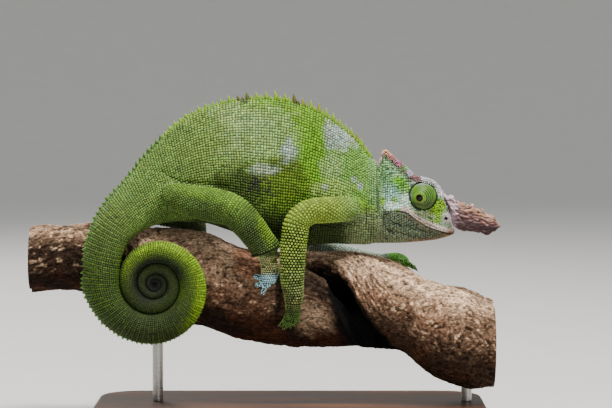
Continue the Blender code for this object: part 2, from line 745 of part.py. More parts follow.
def make_foot(name, wrist, places):
    palm_x, palm_turn = places["palm"]
    palm = rope_point(palm_x, palm_turn, PALM_LIFT)
    between = (wrist[:3] + palm) / 2
    rows = [
        (*wrist[:3], wrist[3]),
        (*between, PALM_RADIUS),
        (*palm, PALM_RADIUS),
        (*(palm + (palm - between) * 0.45), PALM_RADIUS * 0.72),
    ]
    hint = palm - np.array((palm_x, ROPE_DEPTH, rope_at(palm_x)[0]))
    rings = tube_rings(rows, np.linspace(0, 3, 6), 9, 0.8, hint)
    foot = solid_through(name, spaced(rings), "limb_skin")
    toes = []
    for bundle in (places["outer"], places["inner"]):
        toes.append(mitt(places["palm"], bundle, hint))
        for tip in bundle:
            toes += toe(places["palm"], tip, hint)
    return combine(foot, toes, "UNION")


def make_limb(side, rows, upper, lower, end, body_cutters, rope_cutters):
    """One limb: its upper and lower lengths and its foot, each its own node."""
    hint = (0.0, 1.0, 0.0)
    names = [f"{upper}_{side}", f"{lower}_{side}", f"{end}_{side}"]
    solids = []
    lengths = ((names[0], 0, LIMB_JOINT, 9), (names[1], LIMB_JOINT - 0.35, LIMB_WRIST, 11))
    for name, start, stop, count in lengths:
        rings = tube_rings(rows, np.linspace(start, stop, count), LIMB_SIDES, LIMB_FLATNESS, hint)
        solids.append(solid_through(name, rings, "limb_skin"))
    top, shin = solids
    wrist = spline(rows, LIMB_WRIST)
    foot = make_foot(names[2], wrist, FEET[f"{end}_{side}"])
    top_cutter, shin_cutter = grown(top), grown(shin)
    combine(top, [*body_cutters, *rope_cutters], "DIFFERENCE", keep=True)
    combine(shin, [*body_cutters, *rope_cutters, top_cutter], "DIFFERENCE", keep=True)
    combine(foot, [*body_cutters, *rope_cutters, shin_cutter], "DIFFERENCE", keep=True)
    bpy.data.objects.remove(top_cutter)
    bpy.data.objects.remove(shin_cutter)


def head_section(x):
    """The head's closed section at x, smooth through its level lines."""
    crown, crown_half = value_at(CROWN, x), value_at(CROWN_HALF, x)
    chin, jaw_half = value_at(CHIN, x), value_at(JAW_HALF, x)
    mouth = value_at(MOUTH, x)
    height = crown - chin
    side = [
        (crown_half, crown - 0.01 * height),
        (crown_half + 0.3, crown - min(1.2, 0.06 * height)),
        (value_at(TEMPLE_HALF, x), value_at(TEMPLE, x)),
        (value_at(CHEEK_HALF, x), value_at(CHEEK, x)),
        (value_at(LIP_HALF, x), mouth),
        (jaw_half, mouth - 0.35 * (mouth - chin)),
        (jaw_half * 0.72, chin + 0.12 * (mouth - chin)),
    ]
    outline = [(0.0, crown), *side, (0.0, chin), *[(-y, z) for y, z in reversed(side)]]
    count = len(outline)
    closed = [*outline[-2:], *outline, *outline[:3]]
    ring = []
    for step in range(count * SPANS_PER_LEVEL):
        y, z = spline(closed, 2 + step / SPANS_PER_LEVEL)
        ring.append(np.array((x, y, z)))
    return ring


def line_along_head(places, height, half, radius):
    """Rows of a tube along the right side of the head, at functions of x."""
    return [(x, -half(x), height(x), radius(x)) for x in places]


def mirrored(rows):
    return [(x, -y, *rest) for x, y, *rest in rows]


def eye_turret(side):
    """The turret of one eye: a dome with a low cone of lids round the eyeball, and the centre and gaze."""
    flip = np.array((1.0, side, 1.0))
    centre = np.array(EYE_CENTRE) * flip
    gaze = np.array(GAZE) * flip
    gaze /= np.linalg.norm(gaze)
    across = np.cross(gaze, (0.0, 0.0, 1.0))
    across /= np.linalg.norm(across)
    up = np.cross(across, gaze)
    rings = []
    for polar in np.linspace(6.0, 174.0, EYE_RINGS):
        lid = LID_HEIGHT * math.exp(-((polar / LID_SPREAD) ** 2))
        reach = EYE_RADIUS + lid
        out = math.radians(polar)
        ring = []
        for turn in np.linspace(0, 2 * math.pi, EYE_SIDES, endpoint=False):
            sideways = across * math.cos(turn) + up * math.sin(turn)
            ring.append(centre + reach * (gaze * math.cos(out) + sideways * math.sin(out)))
        rings.append(ring)
    return rings, centre, gaze


def ball(name, centre, radius, finish_name, segments=16, rings=10):
    shape = bmesh.new()
    bmesh.ops.create_uvsphere(shape, u_segments=segments, v_segments=rings, radius=radius * MM)
    bmesh.ops.translate(shape, verts=shape.verts, vec=Vector(centre) * MM)
    mesh = bpy.data.meshes.new(name)
    shape.to_mesh(mesh)
    shape.free()
    return add_object(name, mesh, finish_name)


def flat_inner_face(thing, side, place):
    """Cuts the object off flat where it faces the middle plane."""
    shape = bmesh.new()
    shape.from_mesh(thing.data)
    bmesh.ops.bisect_plane(
        shape,
        geom=[*shape.verts, *shape.edges, *shape.faces],
        plane_co=Vector((0, -side * place * MM, 0)),
        plane_no=Vector((0, side, 0)),
        clear_outer=True,
    )
    open_edges = [edge for edge in shape.edges if edge.is_boundary]
    bmesh.ops.holes_fill(shape, edges=open_edges)
    bmesh.ops.recalc_face_normals(shape, faces=shape.faces)
    shape.to_mesh(thing.data)
    shape.free()


def make_eye(name, side):
    """One eye as turret and eyeball. Returns the cutter for its socket."""
    rings, centre, gaze = eye_turret(side)
    turret = solid_through(f"eye_turret_{name}", rings, "turret_skin")
    flat_inner_face(turret, side, EYE_INNER)
    socket = ball("socket", centre, EYE_RADIUS + GAP + 0.12, "head_skin", 16, 10)
    flat_inner_face(socket, side, EYE_INNER - GAP)
    middle = centre + gaze * (EYE_RADIUS + LID_HEIGHT - EYEBALL_DEPTH)
    hollow = ball("hollow", middle, EYEBALL_RADIUS + GAP, "turret_skin", 12, 8)
    combine(turret, [hollow], "DIFFERENCE")
    ball(f"eyeball_{name}", middle, EYEBALL_RADIUS, "eyeball", 12, 8)
    return socket


def make_horn(name, side, head_cutter):
    """One flattened horn, with its raised scales in rows along it."""
    def horn_row(place):
        x, z, half_height, y, half_width = spline(HORN, place)
        return x, z, half_height, side * y, half_width

    rings = []
    for place in np.linspace(0, len(HORN) - 1, 11):
        x, z, half_height, y, half_width = horn_row(place)
        ring = []
        for turn in np.linspace(0, 2 * math.pi, HORN_SIDES, endpoint=False):
            ring.append(np.array((x, y + half_width * math.sin(turn), z + half_height * math.cos(turn))))
        rings.append(ring)
    horn = solid_through(name, rings, "horn_scale")
    scales = []
    for row_number, (share, radius, length) in enumerate(HORN_SCALE_ROWS):
        for k in range(HORN_SCALES):
            place = 1.6 + 4.6 * (k + 0.5 * (row_number % 2)) / HORN_SCALES
            x, z, half_height, y, half_width = horn_row(place)
            bulge = math.sqrt(max(0.0, 1 - share * share))
            for face in (-1, 1) if abs(share) < 0.9 else (0,):
                foot = np.array((x, y + face * half_width * bulge, z + half_height * share))
                way = np.array((0.9, 0.9 * face * bulge, 1.1 * share))
                scales.append(spine(foot, way, length, radius, "scale", 5, 0.7))
    combine(horn, scales, "UNION")
    combine(horn, [head_cutter], "DIFFERENCE", keep=True)


def make_head():
    head = solid_through("head", [head_section(x) for x in HEAD_RINGS], "head_skin")
    cutter = grown(head)
    ridges = []
    crest_xs = np.linspace(CREST_LINE[0][0], CREST_LINE[-1][0], 11)
    crest = line_along_head(
        crest_xs,
        lambda x: value_at(CROWN, x) - 0.5,
        lambda x: value_at(CROWN_HALF, x),
        lambda x: value_at(CREST_LINE, x) + CREST_BUMP * math.sin(2.6 * x),
    )
    lip_start, lip_end = LIP_RANGE
    lip = line_along_head(
        np.linspace(lip_start, lip_end, 9),
        lambda x: value_at(MOUTH, x) + 0.95,
        lambda x: value_at(LIP_HALF, x) - 0.25,
        lambda x: LIP_RADIUS * (0.7 + 0.3 * math.sin(math.pi * (x - lip_start) / (lip_end - lip_start))),
    )
    for rows in (crest, mirrored(crest), lip, mirrored(lip)):
        rings = tube_rings(rows, np.arange(len(rows)), 5, 1.0, (0.0, 1.0, 0.0))
        ridges.append(solid_through("ridge", rings, "head_skin"))
    combine(head, ridges, "UNION", solver="MANIFOLD")
    right = line_along_head(
        np.linspace(*MOUTH_RANGE, 9),
        lambda x: value_at(MOUTH, x) - 0.15,
        lambda x: value_at(LIP_HALF, x) + 0.15,
        lambda x: MOUTH_RADIUS,
    )
    path = [*right, *reversed(mirrored(right))]
    mouth_rings = tube_rings(path, np.arange(len(path)), 5, 1.0, (0.0, 0.0, 1.0))
    cuts = [solid_through("mouth_line", mouth_rings, "head_skin")]
    for side in (-1, 1):
        x, z = NOSTRIL
        middle = (x, side * value_at(TEMPLE_HALF, x), z)
        cuts.append(ball("nostril", middle, NOSTRIL_RADIUS, "head_skin", 8, 6))
    for name, side in (("right", 1), ("left", -1)):
        cuts.append(make_eye(name, side))
    combine(head, cuts, "DIFFERENCE", solver="MANIFOLD")
    make_horn("horn_right", -1, cutter)
    make_horn("horn_left", 1, cutter)
    bpy.data.objects.remove(cutter)


def main():
    for thing in list(bpy.data.objects):
        bpy.data.objects.remove(thing)
    rope_cutters = make_perch()
    make_stand(rope_cutters)
    body_cutters = make_trunk()
    make_head()
    for piece in ("tail_upper", *TAIL_LENGTHS):
        combine(bpy.data.objects[piece], rope_cutters, "DIFFERENCE", keep=True)
    limbs = (
        ("right", ARM_RIGHT, "upper_arm", "forearm", "hand"),
        ("left", ARM_LEFT, "upper_arm", "forearm", "hand"),
        ("right", LEG_RIGHT, "thigh", "shin", "foot"),
        ("left", LEG_LEFT, "thigh", "shin", "foot"),
    )
    for side, rows, upper, lower, end in limbs:
        make_limb(side, rows, upper, lower, end, body_cutters, rope_cutters)
    for cutter in [*rope_cutters, *body_cutters]:
        bpy.data.objects.remove(cutter)


main()
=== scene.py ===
# %% [markdown]
# # A two-horned forest chameleon on a twisted vine
# The plain solids of the chameleon, its vine and its stand come in as a fixed frame, in metres, at life
# size. This lesson dresses them: one continuous skin, a coat of separate small scales, eyes, horns, claws
# and bark. Sizes in the cells are millimetres, because a chameleon is easier to think about in millimetres.
# MM turns them into metres where a mesh is made. The animal faces +X and its right side faces the camera at
# -Y.

# %% Load the frame
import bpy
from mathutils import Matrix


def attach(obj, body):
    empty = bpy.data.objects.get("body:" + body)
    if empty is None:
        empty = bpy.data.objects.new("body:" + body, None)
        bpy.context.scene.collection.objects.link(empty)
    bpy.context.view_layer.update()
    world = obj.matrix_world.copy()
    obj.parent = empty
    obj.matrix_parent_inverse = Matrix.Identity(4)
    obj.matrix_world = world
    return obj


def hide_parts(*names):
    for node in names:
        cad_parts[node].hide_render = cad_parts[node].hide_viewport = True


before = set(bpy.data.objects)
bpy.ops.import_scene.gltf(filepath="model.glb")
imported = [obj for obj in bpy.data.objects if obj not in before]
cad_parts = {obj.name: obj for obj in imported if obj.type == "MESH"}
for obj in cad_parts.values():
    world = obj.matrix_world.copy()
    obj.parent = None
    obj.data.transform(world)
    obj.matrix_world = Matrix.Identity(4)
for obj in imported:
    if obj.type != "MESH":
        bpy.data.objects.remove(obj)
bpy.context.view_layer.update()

import math

import bpy
import numpy as np
from mathutils import Vector
from mathutils.bvhtree import BVHTree
from mathutils.kdtree import KDTree

MM = 0.001

# %% [markdown]
# ## Camera
# The photograph looks at the animal's right side from about a metre, almost level, with a long lens. Camera
# height and distance could be guessed by eye, but here they come from known sizes: one pixel is 0.45 mm at
# the middle of the animal, and the horizon tilt of the vine and feet fits a camera three degrees above it.

# %% Camera
CAMERA_ABOVE = 3.0  # degrees above level
CAMERA_DISTANCE = 1050.0
LOOK_AT = (7.2, 0.0, 97.8)
FRAME_WIDTH = 275.4  # what the picture's width takes in at that distance
SENSOR = 36.0


def into_scene(name, data):
    """A new object in the scene that shows this mesh, lamp or camera."""
    thing = bpy.data.objects.new(name, data)
    bpy.context.scene.collection.objects.link(thing)
    return thing


camera = into_scene("camera", bpy.data.cameras.new("camera"))
camera.data.sensor_width = SENSOR
camera.data.lens = SENSOR * CAMERA_DISTANCE / FRAME_WIDTH
camera.data.clip_start = 0.01
slope = math.radians(CAMERA_ABOVE)
backward = Vector((0.0, -math.cos(slope), math.sin(slope)))
camera.location = (Vector(LOOK_AT) + backward * CAMERA_DISTANCE) * MM
camera.rotation_euler = (math.radians(90.0) - slope, 0.0, 0.0)
bpy.context.scene.camera = camera
print("lens in mm:", round(camera.data.lens, 2))

# %% [markdown]
# ## Smooth curves through named sizes
# Every form below is a tube: a row of sections that grow, shrink and bend along a line. Modelling each by
# hand in Edit Mode would work, but a few measured rows with a smooth curve through them are easier to
# correct. Two kinds of curve are enough: `spline` for rows of points, `value_at` for one value along x.

# %% Curves
def spline(rows, places):
    """Rows on the smooth curve through the rows, at places that count rows from 0."""
    rows = np.asarray(rows, float)
    places = np.atleast_1d(np.asarray(places, float))
    last = len(rows) - 1
    first = np.clip(places.astype(int), 0, last - 1)
    t = (places - first).reshape(-1, *[1] * (rows.ndim - 1))
    before, start, end, after = (rows[np.clip(first + k, 0, last)] for k in (-1, 0, 1, 2))
    bend = 2 * before - 5 * start + 4 * end - after
    twist = 3 * start - before - 3 * end + after
    return 0.5 * (2 * start + (end - before) * t + bend * t * t + twist * t**3)


def value_at(curve, x):
    """Values at x of the smooth curve through (x, value) points, with level runs kept level."""
    xs, ys = np.array(curve, float).T
    x = np.clip(np.asarray(x, float), xs[0], xs[-1])
    steps = np.diff(ys) / np.diff(xs)
    left, right = steps[:-1], steps[1:]
    level = left * right <= 0
    inner = np.where(level, 0.0, 2 * left * right / np.where(level, 1.0, left + right))
    slopes = np.concatenate([steps[:1], inner, steps[-1:]])
    i = np.clip(np.searchsorted(xs, x) - 1, 0, len(xs) - 2)
    width = xs[i + 1] - xs[i]
    t = (x - xs[i]) / width
    return (
        ys[i] * (2 * t**3 - 3 * t**2 + 1)
        + ys[i + 1] * (3 * t**2 - 2 * t**3)
        + width * slopes[i] * (t**3 - 2 * t**2 + t)
        + width * slopes[i + 1] * (t**3 - t**2)
    )


def walked(line):
    """How far each point lies from the first, along the line through the points."""
    return np.concatenate([[0.0], np.cumsum(np.linalg.norm(np.diff(line, axis=0), axis=1))])


def circle(sides):
    """Angles of so many even steps round a circle."""
    return 2 * math.pi * np.arange(sides) / sides


def bell(x):
    """1 at 0, falling smoothly to 0 on both sides."""
    return np.exp(-(x**2))


def unit(ways):
    return ways / np.maximum(np.linalg.norm(ways, axis=-1, keepdims=True), 1e-9)


def cloud(points, size, seed=0):
    """Smooth random values from -1 to 1 that change over about that many millimetres."""
    spot = np.asarray(points, float) / size + 13.7 * seed
    base = np.floor(spot).astype(np.int64)
    t = spot - base
    t = t * t * (3 - 2 * t)
    total = np.zeros(spot.shape[:-1])
    for corner in range(8):
        offset = np.array([corner & 1, corner >> 1 & 1, corner >> 2 & 1])
        cell = base + offset
        mixed = cell[..., 0] * 374761393 + cell[..., 1] * 668265263 + cell[..., 2] * 974634777 + seed * 97
        mixed = (mixed ^ (mixed >> 13)) * 1274126177
        value = ((mixed ^ (mixed >> 16)) & 0xFFFFFF) / 0x7FFFFF - 1.0
        total += value * np.prod(np.where(offset, t, 1 - t), axis=-1)
    return total


# %% [markdown]
# ## The shape of the body and the tail
# Seen from the side a chameleon is a high, narrow leaf: the back arches, the flanks are flat, and the tail
# rolls up in one plane. A row gives the back line and the belly line, half the width, and how far it leans
# to one side. The coil is a spiral that halves at each turn, so it needs only a centre and a first radius.

# %% Body and coil
BODY = [  # back x, back z, belly x, belly z, half width, y
    (38.6, 117.3, 38.6, 80.2, 7.0, 0.0),
    (35.6, 119.6, 34.2, 79.4, 7.6, 0.0),
    (30.6, 125.7, 27.0, 79.6, 8.8, 0.0),
    (25.2, 130.6, 18.9, 80.0, 9.8, 0.0),
    (18.0, 136.2, 10.3, 79.3, 10.8, 0.0),
    (7.7, 141.6, 2.2, 78.4, 11.8, 0.0),
    (-2.7, 144.6, -5.9, 78.4, 12.4, 0.0),
    (-13.5, 145.4, -14.4, 80.0, 12.6, 0.0),
    (-24.7, 144.4, -22.0, 83.6, 12.3, 0.0),
    (-35.9, 141.6, -30.0, 86.8, 11.6, 0.0),
    (-47.1, 136.4, -38.0, 89.2, 10.8, 0.0),
    (-56.1, 128.8, -46.0, 90.0, 10.0, -0.3),
    (-65.0, 119.5, -54.0, 89.7, 9.2, -1.2),
    (-73.9, 108.3, -61.8, 88.0, 8.4, -3.8),
    (-81.6, 99.5, -67.0, 85.4, 7.8, -9.2),
    (-87.1, 89.9, -71.4, 81.4, 7.3, -15.4),
    (-90.1, 78.9, -74.2, 75.0, 6.9, -20.0),
]
BODY_END = len(BODY) - 1
BODY_KEEL = 0.42  # how much the section narrows towards the back line
COIL_KEEL = 0.15
COIL_CENTRE = np.array((-59.5, 63.6))
COIL_RADIUS = 23.6
COIL_DEPTH = -22.4
COIL_DIP = 1.2
COIL_THICKNESS = 0.333
COIL_FLATNESS = 0.84
COIL_GAP = -0.3  # half of what parts neighbouring turns: a little under 0, so that they press together
COIL_TURNS = (-0.035, 3.9)
COIL_CLOSED = 5.4  # where the bare tube ends, inside the last scales


def sections(back, belly, half_width, depth, keel, sides):
    """Closed sections between points of the back line and of the belly line: (rings, sides, xyz)."""
    turn = circle(sides)
    share = (1 + np.cos(turn)) / 2
    side = belly[:, None] + (back - belly)[:, None] * share[None, :, None]
    across = np.asarray(half_width)[:, None] * np.sin(turn) * (1 - np.asarray(keel)[:, None] * share**2)
    return np.stack([side[..., 0], np.asarray(depth)[:, None] + across, side[..., 1]], axis=-1)


def body_rings(places, sides):
    rows = spline(BODY, places)
    keel = BODY_KEEL * np.clip((16.0 - places) / 5.0, 0.35, 1.0)
    return sections(rows[:, 0:2], rows[:, 2:4], rows[:, 4], rows[:, 5], keel, sides)


def coil_rows(turns):
    """Outer points, inner points and half widths of the coil after so many turns."""
    radius = COIL_RADIUS * 0.5**turns
    half = COIL_THICKNESS * radius - COIL_GAP
    angle = math.pi + 2 * math.pi * turns
    way = np.stack([np.cos(angle), np.sin(angle)], axis=-1)
    dip = COIL_DIP * bell((turns - 0.13) / 0.11)
    outer = COIL_CENTRE + way * (radius + half - dip)[:, None]
    return outer, COIL_CENTRE + way * (radius - half)[:, None], COIL_FLATNESS * half


def coil_rings(turns, sides):
    depth, keel = np.full(len(turns), COIL_DEPTH), np.full(len(turns), COIL_KEEL)
    return sections(*coil_rows(turns), depth, keel, sides)


TRUNK_SIDES = 96
trunk_places = np.linspace(0, BODY_END, 300)
coil_places = np.concatenate([np.linspace(COIL_TURNS[0], 1.4, 270), np.linspace(1.41, COIL_TURNS[1], 260)])
trunk_grid = body_rings(trunk_places, TRUNK_SIDES)
coil_grid = coil_rings(coil_places, TRUNK_SIDES)
bridge_ends = np.stack([trunk_grid[-13], trunk_grid[-1], coil_grid[0], coil_grid[20]])
bridge = spline(bridge_ends, np.linspace(1, 2, 20)[1:-1])
bridge_places = np.linspace(BODY_END, BODY_END + 1 + COIL_TURNS[0], 20)[1:-1]
whole_grid = np.concatenate([trunk_grid, bridge, coil_grid])
whole_place = np.concatenate([trunk_places, bridge_places, BODY_END + 1 + coil_places])
print("sections from the nape to the tip of the tail:", whole_grid.shape)

# %% [markdown]
# ## Limbs and grasping feet
# Each limb is a tube that bends at the elbow or knee. The feet are tongs: toes fused into two bundles, two
# against three, that hold the vine from both sides. Their places are given on the vine itself, as x and
# degrees down from its front, so they always lie on the bark.

# %% The vine's line, which the feet hold
ROPE = [  # x, height of the axis, radius
    (-118.0, 72.4, 15.3), (-103.0, 73.3, 15.6), (-85.0, 73.2, 15.9), (-67.5, 69.5, 17.7), (-54.0, 66.8, 20.0),
    (-40.0, 62.8, 21.4), (-22.0, 57.0, 21.6), (4.5, 54.3, 21.4), (25.0, 54.6, 21.4), (49.5, 50.9, 20.4),
    (60.0, 43.6, 22.0), (67.5, 39.9, 23.0), (78.8, 37.1, 23.2), (90.0, 34.8, 20.4), (94.0, 34.0, 19.6),
]
ROPE_DEPTH = 5.0


def column(rows, k):
    """The curve of (x, value) points with the values of one column."""
    return [(row[0], row[k]) for row in rows]


ROPE_AXIS, ROPE_RADIUS = column(ROPE, 1), column(ROPE, 2)


def rope_points(x, degrees, lift):
    """Points on the vine, that many degrees down from its front and lifted off its surface."""
    turn = np.radians(degrees)
    reach, height = value_at(ROPE_RADIUS, x) + lift, value_at(ROPE_AXIS, x)
    return np.stack([x, ROPE_DEPTH - reach * np.cos(turn), height - reach * np.sin(turn)], axis=-1)


# %% Limb rows
ARM_RIGHT = [  # x, y, z, radius, from the root to the wrist
    (36.4, -2.4, 98.0, 3.0), (31.8, -3.6, 97.4, 4.6), (26.3, -7.4, 96.2, 5.4), (17.4, -14.0, 95.9, 5.6),
    (9.0, -18.0, 95.2, 5.5), (3.7, -19.8, 91.2, 5.7), (2.0, -20.6, 83.9, 5.8), (1.3, -20.9, 75.0, 5.6),
    (1.1, -20.9, 66.2, 5.3), (1.7, -20.3, 58.9, 4.3), (1.6, -19.4, 53.4, 3.6),
]
ARM_LEFT = [
    (36.4, 3.4, 95.4, 3.4), (31.8, 5.6, 94.2, 5.4), (26.7, 9.0, 92.1, 5.6), (17.7, 15.5, 88.1, 5.4),
    (9.0, 21.0, 83.1, 5.2), (4.5, 25.2, 78.6, 5.4), (9.0, 26.6, 75.2, 5.6), (17.2, 25.0, 74.2, 5.2),
    (27.4, 21.6, 73.0, 4.2), (37.5, 17.6, 71.8, 3.1), (43.6, 14.8, 71.0, 2.8),
]
LEG_RIGHT = [
    (-64.4, -3.4, 104.6, 3.6), (-59.4, -5.0, 103.6, 5.6), (-52.0, -8.0, 102.0, 6.2),
    (-42.2, -12.8, 99.4, 7.1), (-32.9, -16.2, 97.9, 7.6), (-24.6, -18.3, 95.4, 7.2),
    (-18.6, -18.6, 89.6, 6.9), (-14.6, -18.2, 84.4, 6.5), (-11.2, -17.6, 79.4, 5.9),
    (-9.6, -17.0, 74.2, 4.0), (-9.3, -17.4, 69.6, 3.5),
]
LEG_LEFT = [
    (-64.4, 1.4, 103.0, 3.6), (-61.0, 5.2, 99.4, 5.7), (-57.2, 10.2, 95.8, 6.7), (-52.8, 15.6, 92.9, 7.1),
    (-48.8, 20.8, 90.4, 6.8), (-45.4, 25.4, 87.2, 6.2), (-44.2, 28.6, 82.2, 5.4),
    (-44.2, 30.0, 76.6, 4.7), (-44.6, 30.6, 71.2, 4.1), (-45.2, 30.6, 66.2, 3.6),
    (-45.5, 30.2, 62.4, 3.4),
]
LIMB_WRIST = 9.3
LIMB_FLATNESS = 0.86
SIDEWAYS = (0.0, 1.0, 0.0)
LIMBS = {  # rows, the palm's place on the vine, and the places of the toe tips of both bundles
    "hand_right": (
        ARM_RIGHT, (1.2, 13.0),
        [(-4.2, 26.0), (-2.6, 30.0)], [(3.8, 22.0), (2.2, 25.0), (0.4, 27.0)],
    ),
    "hand_left": (
        ARM_LEFT, (49.0, -112.0),
        [(55.5, -137.0), (51.0, -144.0)], [(56.5, -101.0), (54.6, -92.0), (50.6, -88.0)],
    ),
    "foot_right": (
        LEG_RIGHT, (-9.4, -24.0),
        [(-15.6, -28.0), (-14.7, -17.0), (-12.1, -9.0)], [(-4.8, -40.0), (-5.8, -49.0)],
    ),
    "foot_left": (
        LEG_LEFT, (-45.5, -186.0),
        [(-52.0, -193.0), (-51.6, -206.0), (-48.0, -216.0)], [(-39.9, -206.0), (-42.5, -216.0)],
    ),
}
CUFFS = {"foot_right": (7.1, 8.35, 1.0)}  # a fold of skin: its rows, and how far it stands out


def tube(rows, places, sides, flatness, hint):
    """Sections of an oval tube through rows of x, y, z and radius, flattened along the hinted way."""
    last = len(rows) - 1
    row = spline(rows, places)
    ahead = spline(rows, np.minimum(places + 0.05, last)) - spline(rows, np.maximum(places - 0.05, 0))
    forward = unit(ahead[:, :3])
    hint = np.asarray(hint, float)
    across = unit(hint - forward * (forward @ hint)[:, None])
    up = np.cross(forward, across)
    turn = circle(sides)
    upwards = up[:, None] * np.cos(turn)[None, :, None]
    sideways = across[:, None] * flatness * np.sin(turn)[None, :, None]
    return row[:, None, :3] + row[:, None, 3:4] * (upwards + sideways)


def cuff(rows, start, stop, lift):
    """A sleeve of loose skin that opens downwards and ends over the wrist or ankle."""
    places = np.linspace(start, stop, 16)
    ring = spline(rows, places)
    ring[:, 3] = ring[0, 3] + (ring[:, 3].mean() - ring[0, 3]) * 0.6 + lift * np.linspace(0, 1, 16) ** 1.5
    return tube(ring, np.arange(16.0), 48, LIMB_FLATNESS, SIDEWAYS)


HAUNCH = [  # x, y, z, radius of a fold of skin over the far thigh
    (-66.0, 6.0, 94.0, 2.4), (-61.5, 9.0, 91.6, 3.4), (-56.0, 12.5, 90.4, 3.7), (-50.0, 17.0, 89.6, 3.7),
]
limb_grids, cuff_grids = {}, [tube(HAUNCH, np.linspace(0, 3, 20), 32, 0.9, SIDEWAYS)]
for name, (rows, *_) in LIMBS.items():
    limb_grids[name] = tube(rows, np.linspace(0, LIMB_WRIST + 0.3, 110), 48, LIMB_FLATNESS, SIDEWAYS)
    if name in CUFFS:
        cuff_grids.append(cuff(rows, *CUFFS[name]))
print("limbs:", ", ".join(limb_grids))

# %% Palms, bundles and toes
PALM_RADIUS = 3.3
PALM_LIFT = 2.2
MITT_RADII = [(0.0, 3.1), (0.3, 2.9), (0.6, 2.3), (0.78, 1.3)]
TOE_SIDES = 20
TOE_RADIUS = 1.35
TOE_TIP_RADIUS = 0.95
TOE_LIFT = 1.15
CLAW_LENGTH = 2.0
CLAW_RADIUS = 0.6


def along_bark(palm, tip, shares, lifts, radii):
    """Rows of a tube that follows the bark from the palm towards a toe tip."""
    places = np.array(palm) + (np.array(tip) - np.array(palm)) * np.array(shares)[:, None]
    return np.column_stack([rope_points(places[:, 0], places[:, 1], np.array(lifts)), radii])


def foot_forms(name):
    """Tubes of one foot, and the foot and way of each claw."""
    rows, palm, outer, inner = LIMBS[name]
    wrist = spline(rows, LIMB_WRIST)[0]
    middle = rope_points(np.array([palm[0]]), np.array([palm[1]]), PALM_LIFT)[0]
    between = (wrist[:3] + middle) / 2
    beyond = middle + (middle - between) * 0.45
    radii = (PALM_RADIUS, PALM_RADIUS, PALM_RADIUS * 0.72)
    palm_rows = [wrist, *[[*spot, radius] for spot, radius in zip((between, middle, beyond), radii)]]
    hint = middle - np.array((palm[0], ROPE_DEPTH, value_at(ROPE_AXIS, palm[0])))
    grids, claws = [tube(palm_rows, np.linspace(0, 3, 24), 32, 0.8, hint)], []
    for bundle in (outer, inner):
        shares, radii = np.array(MITT_RADII).T
        mitt = along_bark(palm, np.mean(bundle, axis=0), shares, PALM_LIFT - 0.7 * shares, radii)
        grids.append(tube(mitt, np.linspace(0, 3, 20), 28, 0.75, hint))
        for tip in bundle:
            shares = np.array([0.3, 0.6, 0.85, 1.0])
            lifts = TOE_LIFT + (PALM_LIFT - TOE_LIFT) * np.maximum(0, 0.6 - shares)
            toe = along_bark(palm, tip, shares, lifts, TOE_RADIUS + (TOE_TIP_RADIUS - TOE_RADIUS) * shares)
            end = toe[-1, :3]
            way = unit(end - toe[-2, :3])
            toe = np.vstack([toe, [*(end + way * 0.7), TOE_TIP_RADIUS * 0.45]])
            grids.append(tube(toe, np.linspace(0, 4, 26), TOE_SIDES, 1.0, hint))
            down = unit(np.array((tip[0], ROPE_DEPTH, value_at(ROPE_AXIS, tip[0]))) - end)
            claws.append((end + way * 0.4, unit(way + 0.35 * down), down))
    return grids, claws


foot_grids, claw_places = {}, []
for foot_name in LIMBS:
    foot_grids[foot_name], found = foot_forms(foot_name)
    claw_places += found
print("claws:", len(claw_places))

# %% [markdown]
# ## The head
# The head is one more row of sections, this time through level lines: crown, temple, cheek, mouth and chin,
# each with its own height and half width along x. The pointed rear of the crown is the casque. A sculpt
# would also do, but level lines can be checked against the photograph one by one.

# %% Head lines
CROWN = [
    (38.9, 116.6), (39.8, 117.2), (40.6, 118.9), (41.5, 121.7), (42.3, 122.1), (44.8, 120.1), (49.0, 116.3),
    (52.2, 113.5), (54.6, 111.2), (57.2, 109.6), (60.0, 109.0), (62.7, 108.2), (65.5, 106.6), (67.8, 104.0),
    (69.6, 100.6), (71.3, 95.0), (72.6, 90.4), (73.6, 87.2), (74.1, 86.2),
]
CROWN_HALF = [
    (38.9, 1.7), (40.6, 1.1), (41.8, 0.8), (44.8, 1.3), (49.0, 2.3), (52.2, 3.1), (55.0, 3.9), (60.0, 4.7),
    (64.0, 4.6), (67.0, 4.0), (69.5, 3.5), (71.5, 2.9), (73.2, 1.6), (74.1, 0.6),
]
TEMPLE = [
    (38.9, 108.0), (42.6, 110.0), (49.0, 107.0), (54.0, 105.0), (60.0, 103.0), (66.0, 100.0),
    (69.5, 96.0), (72.0, 90.2), (74.1, 86.0),
]
TEMPLE_HALF = [
    (38.9, 5.2), (42.6, 4.6), (46.0, 5.4), (49.0, 6.0), (54.0, 6.1), (60.0, 6.0), (66.0, 5.2), (69.5, 4.2),
    (72.0, 3.0), (73.4, 1.7), (74.1, 0.7),
]
CHEEK = [
    (38.9, 98.0), (46.0, 98.5), (52.0, 98.0), (58.0, 95.6), (64.0, 92.5), (69.0, 89.6), (72.0, 87.6),
    (74.1, 85.8),
]
MOUTH = [
    (38.9, 93.6), (46.4, 94.2), (51.8, 94.0), (54.9, 93.1), (60.8, 90.1), (67.5, 86.9), (72.0, 85.4),
    (74.1, 85.1),
]
FACE_HALVES = [  # x, then half widths at the cheek, the lip and the jaw
    (38.9, 7.0, 7.1, 6.6), (46.0, 8.2, 8.4, 7.7), (52.0, 7.9, 8.1, 7.3), (58.0, 7.0, 7.1, 6.3),
    (64.0, 5.8, 5.8, 5.1), (69.0, 4.3, 4.3, 3.8), (72.0, 3.1, 3.0, 2.5), (73.4, 1.8, 1.8, 1.4),
    (74.1, 0.8, 0.9, 0.7),
]
